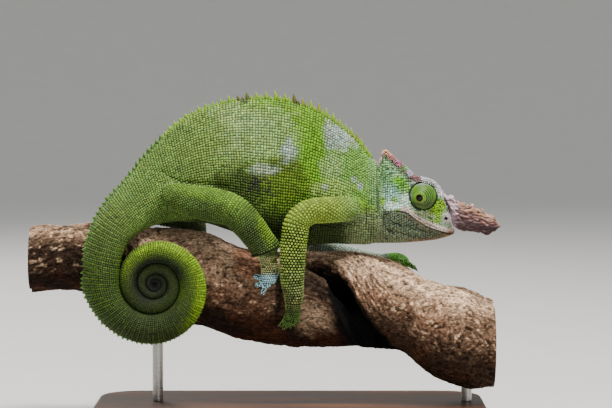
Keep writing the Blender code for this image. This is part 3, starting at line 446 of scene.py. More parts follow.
CHIN = [
    (38.9, 80.2), (46.0, 80.3), (52.2, 80.6), (58.0, 81.0), (63.5, 81.6), (68.0, 82.3), (71.0, 83.1),
    (73.0, 84.0), (74.1, 84.7),
]
CREST_LINE = [(42.6, 0.9), (48.0, 1.0), (52.6, 1.1), (56.0, 1.1), (60.0, 1.15), (64.0, 1.1), (67.4, 0.9)]
LIPS = [  # x, height of the line between the lips
    (45.0, 95.2), (48.5, 94.9), (51.8, 94.3), (54.9, 92.2), (60.8, 88.4), (67.5, 85.6), (71.5, 84.6),
    (73.8, 84.7),
]
LIP_RANGE = (48.5, 73.0)
LIP_RADIUS = 0.95
MOUTH_RANGE = (45.4, 73.6)
NOSTRIL = (69.9, 4.9, 91.5)
NOSTRIL_BULGE = (71.0, 4.6, 91.8)


def head_rings(xs, steps_per_level=4):
    """The head's sections at each x, smooth through its level lines."""
    crown, crown_half, chin = value_at(CROWN, xs), value_at(CROWN_HALF, xs), value_at(CHIN, xs)
    cheek, lip, jaw = (value_at(column(FACE_HALVES, k), xs) for k in (1, 2, 3))
    mouth = value_at(MOUTH, xs)
    height = crown - chin
    side = [
        (crown_half, crown - 0.01 * height),
        (crown_half + 0.3, crown - np.minimum(1.2, 0.06 * height)),
        (value_at(TEMPLE_HALF, xs), value_at(TEMPLE, xs)),
        (cheek, value_at(CHEEK, xs)),
        (lip, mouth),
        (jaw, mouth - 0.35 * (mouth - chin)),
        (jaw * 0.72, chin + 0.12 * (mouth - chin)),
    ]
    outline = [(0 * xs, crown), *side, (0 * xs, chin), *[(-y, z) for y, z in reversed(side)]]
    closed = np.array([*outline[-2:], *outline, *outline[:3]]).transpose(0, 2, 1)
    places = 2 + np.arange(len(outline) * steps_per_level) / steps_per_level
    yz = spline(closed, places).transpose(1, 0, 2)
    return np.concatenate([np.broadcast_to(xs[:, None, None], (*yz.shape[:2], 1)), yz], axis=2)


def head_side(xs, heights):
    """Half the head's width at each x and height."""
    found = []
    for ring, height in zip(head_rings(np.atleast_1d(xs)), np.atleast_1d(heights)):
        near = ring[ring[:, 1] >= 0]
        order = np.argsort(near[:, 2])
        found.append(np.interp(height, near[order, 2], near[order, 1]))
    return np.array(found)


def ridge(xs, half, height, radius, flip):
    rows = np.column_stack([xs, -flip * half, height, radius])
    return tube(rows, np.linspace(0, len(xs) - 1, 120), 20, 1.0, SIDEWAYS)


HEAD_STRETCHES = [(38.9, 44.0, 40), (44.0, 70.0, 110), (70.0, 74.1, 40)]  # x from and to, and sections
head_parts = [np.linspace(*stretch) for stretch in HEAD_STRETCHES]
head_xs = np.concatenate([head_parts[0][:-1], head_parts[1][:-1], head_parts[2]])
head_grid = head_rings(head_xs)
head_ridges = []
for flip in (1, -1):
    xs = np.linspace(CREST_LINE[0][0], CREST_LINE[-1][0], 24)
    crest_curve = (value_at(CROWN_HALF, xs), value_at(CROWN, xs) - 0.5, value_at(CREST_LINE, xs))
    head_ridges.append(ridge(xs, *crest_curve, flip))
    xs = np.linspace(*LIP_RANGE, 14)
    swell = LIP_RADIUS * (0.6 + 0.4 * np.sin(math.pi * (xs - LIP_RANGE[0]) / (LIP_RANGE[1] - LIP_RANGE[0])))
    lip_heights = value_at(LIPS, xs) + 1.15
    head_ridges.append(ridge(xs, head_side(xs, lip_heights) - 0.3, lip_heights, swell, flip))
print("head sections:", head_grid.shape)

# %% [markdown]
# ## One skin over everything
# On the animal there are no seams: skin runs from the lip to the tail tip. The tubes overlap, and a voxel
# remesh turns them into one closed surface, the way soft clay pieces are smoothed together. A Boolean union
# would keep a hard crease round each limb. The remesh blurs it, and many rounds of relaxing round the
# shoulders and hips melt the roots of the limbs into the body. The inner turns of the coil lie closer
# together than a voxel can tell, so the coil stays a tube of its own that starts inside the remeshed tail.

# %% Mesh helpers
def add_mesh(name, points, faces, smooth=True):
    """A new object from points in millimetres."""
    mesh = bpy.data.meshes.new(name)
    mesh.from_pydata(np.asarray(points) * MM, [], [tuple(face) for face in faces])
    if smooth:
        mesh.shade_smooth()
    return into_scene(name, mesh)


def grid_faces(rings, sides, first=0, caps=True):
    """Faces of a tube of rings, closed with flat ends."""
    ring = np.arange(rings - 1)[:, None] * sides
    side = np.arange(sides)
    after = (side + 1) % sides
    quads = np.stack([ring + side, ring + sides + side, ring + sides + after, ring + after], axis=-1) + first
    faces = [list(map(int, quad)) for quad in quads.reshape(-1, 4)]
    if caps:
        faces.append([int(first + k) for k in side])
        faces.append([int(first + (rings - 1) * sides + k) for k in side[::-1]])
    return faces


def turned_in(grid):
    """True where the faces of a tube through this grid would look inwards."""
    spots = grid - grid.mean(axis=(0, 1))
    here, ahead = spots[:-1], spots[1:]
    corner, beside = np.roll(ahead, -1, axis=1), np.roll(here, -1, axis=1)
    return np.sum(here * np.cross(ahead, corner)) + np.sum(here * np.cross(corner, beside)) < 0


def tubes_mesh(name, grids):
    points, faces = [], []
    for grid in grids:
        found = grid_faces(grid.shape[0], grid.shape[1], sum(map(len, points)))
        faces += [face[::-1] for face in found] if turned_in(grid) else found
        points.append(grid.reshape(-1, 3))
    return add_mesh(name, np.concatenate(points), faces)


def read_out(things, key, width, kind=np.float32):
    """A property of all vertices or edges, in rows of so many values."""
    flat = np.empty(len(things) * width, kind)
    things.foreach_get(key, flat)
    return flat.reshape(-1, width)


def single(values, kind=np.float32):
    """The values in one flat row, as Blender's foreach_set takes them."""
    return np.asarray(values).astype(kind).ravel()


def mesh_points(mesh):
    return read_out(mesh.vertices, "co", 3).astype(float) / MM


def set_points(mesh, points):
    mesh.vertices.foreach_set("co", single(points * MM))
    mesh.update()


def mesh_normals(mesh):
    return read_out(mesh.vertex_normals, "vector", 3).astype(float)


# %% Remesh and relax
VOXEL = 0.42
COIL_JOIN = 0.62  # turns of the coil that the remeshed part still takes in
SCALE_BED = 0.22  # how far the bare skin lies under the tops of the scales
NECK_SEAM = 38.8  # x of the fold between the neck and the head


def reached_out(ring, step, size):
    """A section moved along x and drawn in, to run a tube on into its neighbour."""
    middle = ring.mean(axis=0)
    return (middle + (ring - middle) * size + (step, 0.0, 0.0))[None]


foot_tubes = [grid for grids in foot_grids.values() for grid in grids]
MOUND = [  # x, y, z, radius of the swelling round a nostril
    (68.0, 2.4, 92.2, 1.4), (69.4, 2.6, 92.2, 2.5), (71.0, 2.6, 92.0, 2.8), (72.6, 2.5, 91.5, 2.2),
    (73.8, 2.4, 91.0, 1.0),
]
mounds = []
for flip in (1, -1):
    rows = [(x, flip * y, z, r) for x, y, z, r in MOUND]
    mounds.append(tube(rows, np.linspace(0, 4, 20), 32, 0.9, SIDEWAYS))
joined = whole_grid[whole_place < BODY_END + 1 + COIL_JOIN]
joined = np.concatenate([reached_out(joined[0], 2.5, 0.93), joined])
head_form = np.concatenate([reached_out(head_grid[0], -2.5, 0.93), head_grid])
limb_tubes = [*limb_grids.values(), *cuff_grids, *foot_tubes]
blob = tubes_mesh("skin_blob", [joined, head_form, *head_ridges, *limb_tubes, *mounds])
remesh = blob.modifiers.new("one_skin", "REMESH")
remesh.mode = "VOXEL"
remesh.voxel_size = VOXEL * MM
bpy.context.view_layer.update()
skin_mesh = bpy.data.meshes.new_from_object(blob.evaluated_get(bpy.context.evaluated_depsgraph_get()))
bpy.data.objects.remove(blob)
skin_points = mesh_points(skin_mesh)
skin_edges = read_out(skin_mesh.edges, "vertices", 2, np.int32)


def relax(points, edges, weight, rounds):
    """Moves each point towards the middle of its neighbours."""
    count = len(points)
    near = np.bincount(edges.ravel(), minlength=count)[:, None]
    for _ in range(rounds):
        total = np.empty_like(points)
        for axis in range(3):
            total[:, axis] = np.bincount(edges[:, 0], points[edges[:, 1], axis], count) + np.bincount(
                edges[:, 1], points[edges[:, 0], axis], count
            )
        points = points + weight * (total / near - points)
    return points


def near_to(points, places, reach):
    """1 at the places, fading away as their reach is passed."""
    found = np.zeros(len(points))
    for place, radius in zip(places, reach):
        found = np.maximum(found, bell(np.linalg.norm(points - np.array(place), axis=1) / radius))
    return found


LIMB_ROOTS = [(31.0, -8.0, 96.0), (30.0, 8.0, 93.0), (-57.0, -8.0, 102.0), (-58.0, 8.0, 98.0)]
ROOT_REACH = 9.0
ROOT_ROUNDS = 40
RELAX_STEPS = [0.55, -0.57] * 3  # each step in has one back out, so that no volume is lost
for weight in RELAX_STEPS:
    skin_points = relax(skin_points, skin_edges, weight, 1)
root_weight = near_to(skin_points, LIMB_ROOTS, [ROOT_REACH] * 4)[:, None]
neck_band = bell((skin_points[:, 0] - NECK_SEAM) / 1.8)
neck_band = neck_band * np.clip((117.0 - skin_points[:, 2]) / 3, 0, 1)
root_weight = np.maximum(root_weight, neck_band[:, None])
skin_points = relax(skin_points, skin_edges, 0.6 * root_weight, ROOT_ROUNDS)
set_points(skin_mesh, skin_points)
print("skin points:", len(skin_points))

# %% Folds, mouth line and nostrils pressed into the skin
FOLDS = [  # points of the fold in x, z, depth, half width
    ([(38.4, 110.0), (38.0, 104.0), (38.4, 98.0), (39.8, 93.0)], 0.3, 1.2),
    ([(36.0, 99.0), (34.0, 93.0), (34.5, 87.0), (38.0, 83.5)], 0.5, 1.3),
    ([(43.2, 93.8), (41.6, 91.5), (42.2, 88.0), (46.0, 85.0)], 0.5, 1.1),
    ([(46.5, 89.5), (52.0, 88.2), (58.0, 86.4), (63.0, 85.0)], 0.35, 0.9),
    ([(44.5, 86.6), (51.0, 84.8), (57.0, 83.6)], 0.3, 0.8),
    ([(28.5, 89.5), (22.0, 88.0), (14.0, 88.5)], 0.5, 1.2),
    ([(-57.0, 113.0), (-49.0, 108.5), (-38.0, 107.5), (-28.0, 106.0)], 0.5, 1.3),
]


def from_curve(points, curve, steps=60):
    """How far points lie from a smooth curve, and how far along it the nearest place is."""
    line = spline(curve, np.linspace(0, len(curve) - 1, steps))
    away = np.full(len(points), 1e9)
    along = np.zeros(len(points))
    for k, spot in enumerate(line):
        found = np.linalg.norm(points - spot, axis=1)
        along[found < away] = k / (steps - 1)
        away = np.minimum(away, found)
    return away, along


def from_nostril(points, place):
    """How far points lie from a nostril, which reaches deep into the head."""
    return np.linalg.norm((points - place) * (1, 0.3, 1), axis=1)


skin_normals = mesh_normals(skin_mesh)
press = np.full(len(skin_points), SCALE_BED)
for curve, depth, half in FOLDS:
    away = from_curve(skin_points[:, [0, 2]], curve)[0]
    press += depth * bell(away / half) * (np.abs(skin_normals[:, 1]) > 0.15)
mouth_xs = np.linspace(*MOUTH_RANGE, 24)
mouth_heights = value_at(LIPS, mouth_xs)
mouth_half = head_side(mouth_xs, mouth_heights)
MOUTH_CURVES = [np.column_stack([mouth_xs, flip * mouth_half, mouth_heights]) for flip in (-1, 1)]
for curve in MOUTH_CURVES:
    press += 0.7 * bell(from_curve(skin_points, curve, 120)[0] / 0.42)
NOSTRILS, BULGES = [
    [np.array((x, flip * y, z)) for flip in (-1, 1)] for x, y, z in (NOSTRIL, NOSTRIL_BULGE)
]
for place, bulge in zip(NOSTRILS, BULGES):
    press -= 0.2 * bell(np.linalg.norm(skin_points - bulge, axis=1) / 2.0)
    press += 1.6 * bell(from_nostril(skin_points, place) / 0.6)
press += 0.12 * cloud(skin_points, 5.0, 3)
skin_points = skin_points - skin_normals * press[:, None]
set_points(skin_mesh, skin_points)

coil_turns = np.linspace(COIL_JOIN - 0.05, COIL_CLOSED, 560)
coil_tube = tubes_mesh("coil_tube", [coil_rings(coil_turns, TRUNK_SIDES)])
coil_points = mesh_points(coil_tube.data) - mesh_normals(coil_tube.data) * SCALE_BED
set_points(coil_tube.data, coil_points)
skin = into_scene("skin", skin_mesh)
print("skin faces:", len(skin_mesh.polygons))

with bpy.context.temp_override(active_object=skin, selected_editable_objects=[skin, coil_tube]):
    bpy.ops.object.join()
skin_mesh = skin.data
skin_points = mesh_points(skin_mesh)
skin_mesh.shade_smooth()

# %% [markdown]
# ## Laying scales in rows
# A chameleon's scales don't overlap like roof tiles. They are separate beads and small plates, with bare
# skin between them, set in rows: square plates in a grid on the flank, rings round the tail, round beads on
# the limbs. Geometry Nodes could scatter them, but scattered points don't make rows. The tubes already have
# a direction along and a direction around, so walking along each one and dividing each ring evenly gives
# the real order. Each root is then dropped onto the finished skin, and any root buried under another form
# is left out.

# %% Walk along a tube and divide its rings
def across_ring(ring, spots):
    """Points of a closed ring at fractional side numbers."""
    sides = np.arange(len(ring))
    return np.stack([np.interp(spots, sides, ring[:, axis]) for axis in range(3)], axis=-1)


def lay_scales(grid, pitch, width, brick, steady, waver):
    """Roots of scales on a tube: pitch is the row spacing and width the spacing round it, at each ring.

    brick shifts every second row, steady says how far a row may drift from its ideal count before the
    count changes, and waver strays each scale a little.
    """
    rings, sides = grid.shape[:2]
    pitch, width = np.broadcast_to(pitch, rings), np.broadcast_to(width, rings)
    steps = np.linalg.norm(np.diff(grid, axis=0), axis=2).mean(1)
    pace = np.concatenate([[0.0], np.cumsum(steps / ((pitch[1:] + pitch[:-1]) / 2))])
    rows = np.arange(0.5, pace[-1])
    closed = np.concatenate([grid, grid[:, :1]], axis=1)

    def ring_at(row):
        station = float(np.interp(row, pace, np.arange(rings)))
        i = min(int(station), rings - 2)
        return closed[i] + (closed[i + 1] - closed[i]) * (station - i), station

    draw = np.random.default_rng(rings + sides)
    found, count = [], 0
    for k, row in enumerate(rows):
        (ring, station), (low, _), (high, _) = ring_at(row), ring_at(row - 0.5), ring_at(row + 0.5)
        lengths = walked(ring)
        ideal = lengths[-1] / np.interp(station, np.arange(rings), width)
        if not count or abs(ideal / count - 1) > steady:
            count = max(5, 2 * round(ideal / 2))
        even = np.arange(count) + 0.5 + brick * (k % 2)
        share = (even + waver * draw.standard_normal(count)) / count % 1
        spots = np.interp(share * lengths[-1], lengths, np.arange(sides + 1))
        along = across_ring(high, spots) - across_ring(low, spots)
        half = np.full(count, 0.5 * lengths[-1] / count)
        data = (np.full(count, k), np.full(count, station), share, np.linalg.norm(along, axis=1) / 2, half)
        found.append(np.column_stack([across_ring(ring, spots), unit(along), *data]))
    table = np.concatenate(found)
    steps_aside = 1.6 * waver * draw.standard_normal(len(table)) + 4 * waver * cloud(table[:, 0:3], 3.5, 41)
    return {
        "root": table[:, 0:3] + table[:, 3:6] * (steps_aside * table[:, 9])[:, None],
        "along": table[:, 3:6],
        "row": table[:, 6],
        "station": table[:, 7],
        "share": table[:, 8],
        "half": table[:, 9:11],
        "widest": max(map(len, found)),
        "rows": len(rows),
    }


def picked(coat, keep):
    """The scales of a coat that a mask or a list of numbers keeps."""
    return {key: value[keep] if isinstance(value, np.ndarray) else value for key, value in coat.items()}


# %% Drop the roots onto the skin
tree_faces = []
for polygon in skin_mesh.polygons:
    tree_faces.append(tuple(polygon.vertices))
skin_tree = BVHTree.FromPolygons([tuple(point) for point in skin_points], tree_faces)


def settle(coat, reach=1.0):
    """Moves each root to the nearest skin, and drops those that lie further from it than reach."""
    roots, normals, keep = [], [], []
    for i, root in enumerate(coat["root"]):
        place, normal, _, _ = skin_tree.find_nearest(Vector(root), reach)
        if place is not None:
            roots.append(place[:])
            normals.append(normal[:])
            keep.append(i)
    coat = picked(coat, np.array(keep, int))
    coat["root"], coat["normal"] = np.array(roots), np.array(normals)
    return coat


def finder_of(points):
    """A tree that finds the points near a place."""
    tree = KDTree(len(points))
    for i, point in enumerate(points):
        tree.insert(point, i)
    tree.balance()
    return tree


placed_roots, placed_sizes = np.zeros((0, 3)), np.zeros(0)


def without_crowding(coat, closeness=0.74):
    """Drops roots that crowd scales placed before, or earlier ones of their own coat."""
    global placed_roots, placed_sizes
    roots, sizes = coat["root"], coat["half"].min(axis=1)
    everything = finder_of([*placed_roots, *roots])
    all_sizes = np.concatenate([placed_sizes, sizes])
    dropped = np.zeros(len(all_sizes), bool)
    first = len(placed_roots)
    for i in range(len(roots)):
        for _, other, distance in everything.find_range(roots[i], sizes[i] * 2.2):
            near = distance < closeness * (sizes[i] + all_sizes[other])
            if other < first + i and not dropped[other] and near:
                dropped[first + i] = True
                break
    keep = ~dropped[first:]
    placed_roots = np.concatenate([placed_roots, roots[keep]])
    placed_sizes = np.concatenate([placed_sizes, sizes[keep]])
    return picked(coat, keep)


def grown(grid, pitch, width, brick, steady, waver, reach, closeness):
    """Scales laid on a tube, dropped onto skin within reach, and thinned where closer than closeness."""
    return without_crowding(settle(lay_scales(grid, pitch, width, brick, steady, waver), reach), closeness)


# %% [markdown]
# ## Markings as paint on each scale
# The colours are painted scale by scale: each scale takes one colour from its place, as on the live animal,
# where a patch of colour always ends at the edge of a scale. The patches are named ellipses and bands in x
# and z, with frayed edges. Some of them are painted shade and painted light: the shade under the belly, on
# the coil and on the far hind leg, and the light on the near knee and thigh and on the far arm. A shader
# could mix the same patches, but a colour attribute lets skin and scales share them.

# %% Paint helpers
COLOURFUL = 1.3  # the view transform pales strong colours, so they go in a little stronger
DEEPER = 0.8


def tone(red, green, blue):
    """A colour given as it is seen on a screen, from 0 to 255, in the linear values that shaders use."""
    seen = np.array((red, green, blue)) / 255
    light = np.where(seen <= 0.04045, seen / 12.92, ((seen + 0.055) / 1.055) ** 2.4)
    grey = light @ (0.25, 0.65, 0.1)
    return np.clip(grey + (light - grey) * COLOURFUL, 0.002, 1.0) * DEEPER


def patch(points, centre, reach, soft=0.3, turn=0.0, fray=0.3, seed=1):
    """1 inside an ellipse in x and z, 0 outside, with a frayed edge."""
    x, z = points[:, 0] - centre[0], points[:, 2] - centre[1]
    c, s = math.cos(math.radians(turn)), math.sin(math.radians(turn))
    away = np.hypot((x * c + z * s) / reach[0], (z * c - x * s) / reach[1])
    away = away + fray * cloud(points, 2.6, seed) + 0.5 * fray * cloud(points, 6.0, seed + 1)
    return np.clip((1 + soft - away) / (2 * soft), 0, 1)


def ramp(values, start, end):
    """0 before start and 1 after end, smooth between."""
    t = np.clip((values - start) / (end - start), 0, 1)
    return t * t * (3 - 2 * t)


def lay_on(colours, *layers):
    """Lays each layer's colour over the colours, or over one colour, as strongly as its mask says."""
    for mask, colour in layers:
        colours = colours + (np.asarray(colour) - colours) * np.asarray(mask)[:, None]
    return colours


def marks(points, rows, seed):
    """A layer for each row of centre, reach, turn, fray, strength and colour."""
    return [
        (patch(points, centre, reach, turn=turn, fray=fray, seed=seed + number) * strength, colour)
        for number, (centre, reach, turn, fray, strength, colour) in enumerate(rows)
    ]


def varied(colours, seed, amount=0.17):
    """Each scale a little lighter or darker than its neighbours, and a little more yellow or blue."""
    draw = np.random.default_rng(seed)
    light = 1 + amount * draw.standard_normal(len(colours))
    warm = 0.06 * draw.standard_normal(len(colours))
    tint = np.column_stack([1 + warm, np.ones(len(colours)), 1 - 1.5 * warm])
    return np.clip(colours * light[:, None] * tint, 0.002, 0.95)


# %% Flank and tail colours
MOSS = tone(130, 166, 82)
SAGE = tone(134, 156, 98)
PALE_SAGE = tone(172, 196, 144)
LILAC = tone(188, 200, 192)
LEAF = tone(126, 170, 12)
LIME = tone(104, 124, 4)
OLIVE = tone(66, 82, 10)
# dark olive of the painted shade under the belly
BELLY_SHADE_OLIVE = tone(30, 36, 8)
NECK_BEADS = tone(138, 148, 114)
SEA_GREEN = tone(134, 172, 108)
FLANK_MARKS = [  # centre, reach, turn, fray, strength, colour
    ((-18.0, 137.0), (15.0, 5.5), -4, 0.5, 0.55, tone(180, 202, 150)),
    ((-11.0, 126.0), (16.0, 11.5), -12, 0.55, 0.62, PALE_SAGE),
    ((0.0, 121.5), (3.6, 5.8), 10, 0.5, 0.85, LILAC),
    ((9.0, 119.0), (6.2, 17.0), -8, 0.25, 0.9, LEAF),
    ((22.5, 129.5), (7.5, 6.5), -35, 0.4, 0.85, LILAC),
    ((18.5, 116.5), (5.2, 7.5), 0, 0.5, 0.6, PALE_SAGE),
    ((18.5, 105.0), (9.5, 4.6), 8, 0.4, 0.9, tone(170, 196, 124)),
    ((29.0, 109.0), (1.3, 1.4), 0, 0.5, 0.7, LILAC),
    ((15.5, 105.6), (1.4, 1.2), 0, 0.5, 0.7, LILAC),
    ((31.5, 106.3), (1.4, 1.4), 0, 0.5, 0.9, LILAC),
    ((-4.5, 108.0), (12.5, 10.5), -8, 0.3, 0.9, LIME),
    ((-23.0, 106.0), (12.0, 8.0), -10, 0.4, 0.9, OLIVE),
    ((-9.9, 113.6), (6.6, 2.1), -4, 0.45, 0.75, tone(186, 198, 178)),
    ((-20.7, 145.0), (2.0, 1.5), 0, 0.3, 0.85, tone(60, 52, 48)),
    ((3.2, 143.4), (1.5, 1.2), 0, 0.3, 0.85, tone(60, 52, 48)),
    ((-50.0, 114.0), (1.4, 0.9), 0, 0.3, 0.85, tone(60, 52, 48)),
]


def flank_tone(points):
    x, z = points[:, 0], points[:, 2]
    web = ramp(np.abs(cloud(points, 2.6, 77)), 0.14, 0.05)
    web = web * patch(points, (-13.5, 106.5), (8.5, 4.8), seed=78)
    colours = lay_on(
        MOSS,
        (ramp(x, 0.0, -26.0) * 0.85, SAGE),
        (ramp(x, 8.0, 26.0) * ramp(z, 96.0, 106.0) * 0.65, SEA_GREEN),
        *marks(points, FLANK_MARKS, 11),
        # painted shade: the lower flank and the belly go dark olive, as if shaded from the light above
        (ramp(z, 103.0, 88.0) * ramp(x, 33.0, 24.0) * ramp(x, -50.0, -40.0) * 0.9, BELLY_SHADE_OLIVE),
        (ramp(x, 33.0, 38.0) * ramp(z, 96.0, 100.0) * 0.8, tone(146, 178, 130)),
        (ramp(x, 21.0, 30.0) * ramp(z, 98.0, 92.0) * 0.9, NECK_BEADS),
        (web * 0.75, tone(44, 40, 40)),
        (ramp(z, 134.0, 143.0) * ramp(x, -45.0, -20.0) * 0.12, LEAF),
        (ramp(x, -40.0, -56.0) * 0.7, tone(112, 138, 82)),
    )
    return colours * (0.93 + 0.16 * cloud(points, 7.0, 5) + 0.08 * cloud(points, 1.8, 15))[:, None]


TAIL_SAGE = tone(102, 124, 68)
TAIL_GREEN = tone(78, 100, 40)
# dark of the painted shade on the coil
TAIL_SHADE = tone(52, 64, 26)
TAIL_LIME = tone(100, 122, 2)
# dark olive of the inner whorls, used again, made darker, for painted shade
TAIL_INNER = tone(42, 52, 3)


def tail_tone(points, place):
    """place counts rows of the body, then turns of the coil after BODY_END + 1."""
    turns = place - BODY_END - 1
    to_centre = np.hypot(points[:, 0] - COIL_CENTRE[0], points[:, 2] - COIL_CENTRE[1])
    radius = COIL_RADIUS * 0.5 ** np.clip(turns, 0, 4)
    share = (to_centre / radius - 1) / (2 * COIL_THICKNESS) + 0.5  # 0 inside, 1 outside
    lime_rim = ramp(turns, 0.3, 0.45) * ramp(turns, 1.0, 0.8) * ramp(share, 0.5, 0.9) * 0.85
    colours = lay_on(
        TAIL_SAGE,
        (ramp(place, 14.5, 16.5), TAIL_GREEN),
        # painted shade: the coil goes dark from its left side round its bottom, as if shaded from above
        (ramp(turns, 0.0, 0.2) * 0.85, TAIL_SHADE),
        (ramp(turns, 0.32, 0.5) * (0.7 + 0.3 * ramp(share, 0.3, 0.7)), TAIL_LIME),
        (lime_rim, tone(158, 190, 0)),
        # the inner whorls: partly their own dark olive, partly painted shade
        (ramp(turns, 0.82, 1.1) * 0.85, TAIL_INNER),
        # painted shade on the inner half of the outer whorl
        (ramp(turns, 0.42, 0.6) * ramp(share, 0.55, 0.1) * ramp(turns, 1.4, 1.1), TAIL_SHADE * 0.5),
        # painted shade: the inner turns darker and darker towards the centre of the coil
        (ramp(turns, 1.6, 2.5) * 0.8, TAIL_INNER * 0.35),
        (ramp(turns, 2.5, 3.4) * 0.9, TAIL_INNER * 0.12),
        # painted shade in the seams where neighbouring whorls press together
        (ramp(turns, 0.6, 0.9) * ramp(np.abs(share - 0.5), 0.28, 0.5) * 0.8, TAIL_INNER * 0.15),
    )
    return colours * (0.94 + 0.16 * cloud(points, 4.0, 6))[:, None]


# %% Lay the flank and the tail
TAIL_START = 13.4  # row of BODY
SIZES_AT = [0.0, 3.0, 9.0, 13.0, 16.0, 17.0, 17.5, 18.0, 18.6, 20.9]
PITCHES = [1.1, 1.15, 1.2, 1.12, 1.05, 1.0, 0.95, 0.78, 0.62, 0.42]
WIDTHS = [1.12, 1.22, 1.25, 1.12, 1.05, 1.02, 0.98, 0.8, 0.66, 0.46]
trunk_sizes = [np.interp(whole_place, SIZES_AT, sizes) for sizes in (PITCHES, WIDTHS)]
trunk = grown(whole_grid, *trunk_sizes, 0.0, 0.14, 0.055, 1.5, 0.7)
trunk["place"] = np.interp(trunk["station"], np.arange(len(whole_place)), whole_place)
to_tail = ramp(trunk["place"], 12.6, 14.4)[:, None]
rib = (trunk["row"] % 2 == 1) * ramp(trunk["place"], 13.6, 14.6) * ramp(trunk["place"], 18.2, 17.0)
tail_paint = tail_tone(trunk["root"], trunk["place"]) * to_tail
trunk["tone"] = (flank_tone(trunk["root"]) * (1 - to_tail) + tail_paint) * (1 - 0.4 * rib)[:, None]
on_tail = trunk["place"] > TAIL_START
flank, tail = picked(trunk, ~on_tail), picked(trunk, on_tail)
print("scales on the flank and tail:", len(flank["root"]), len(tail["root"]))

# %% Head colours and scales
CASQUE = tone(154, 184, 144)
TEMPLE_GREEN = tone(128, 182, 16)
CHEEK_BLUE = tone(164, 200, 182)
CHEEK_PALE = tone(228, 246, 234)
SNOUT_GREEN = tone(146, 184, 36)
RIM_PALE = tone(250, 252, 254)
CREST_MAUVE = tone(176, 150, 156)
LIP_PALE = tone(214, 198, 190)
LIP_BROWN = tone(126, 104, 84)
THROAT = tone(122, 130, 104)
JAW = tone(112, 122, 102)
NECK = tone(150, 180, 124)
EYE_CENTRE = np.array((59.5, -5.0, 101.6))
EYE_RADIUS = 5.9
HEAD_MARKS = [  # centre, reach, turn, fray, strength, colour
    ((43.0, 110.0), (3.4, 7.0), 12, 0.3, 0.5, tone(104, 150, 100)),
    ((48.6, 107.2), (3.0, 3.4), -20, 0.3, 1.0, TEMPLE_GREEN),
    ((52.6, 104.8), (1.5, 2.4), 20, 0.3, 0.7, TEMPLE_GREEN),
    ((45.4, 102.6), (4.2, 4.4), 0, 0.3, 0.9, CHEEK_BLUE),
    ((47.0, 97.2), (7.0, 1.7), -4, 0.2, 0.95, CHEEK_PALE),
    ((51.5, 100.0), (1.7, 3.2), 10, 0.3, 0.8, CHEEK_PALE),
    ((46.6, 99.8), (1.5, 0.9), 20, 0.15, 0.95, SNOUT_GREEN),
    ((41.2, 99.0), (1.2, 2.4), 0, 0.2, 0.9, SNOUT_GREEN),
    ((48.4, 95.5), (1.9, 0.6), 10, 0.15, 0.8, SNOUT_GREEN),
    ((39.0, 101.0), (0.9, 7.5), 3, 0.35, 0.7, tone(40, 52, 34)),
    ((42.6, 90.8), (1.3, 3.6), -28, 0.25, 0.6, tone(44, 54, 34)),
]
CREST_MARKS = [  # centre, reach, colour
    ((43.4, 121.4), (1.9, 1.9), tone(226, 178, 152)),
    ((46.0, 119.2), (1.3, 1.3), tone(206, 150, 138)),
    ((48.8, 116.5), (1.8, 1.5), tone(184, 128, 146)),
    ((51.4, 113.9), (1.5, 1.2), tone(132, 172, 114)),
    ((53.6, 111.8), (1.5, 1.2), tone(214, 206, 222)),
    ((56.6, 109.8), (1.8, 1.0), tone(150, 118, 122)),
]


def from_eyeball(points, side):
    return np.linalg.norm(points - EYE_CENTRE * (1, side, 1), axis=1)


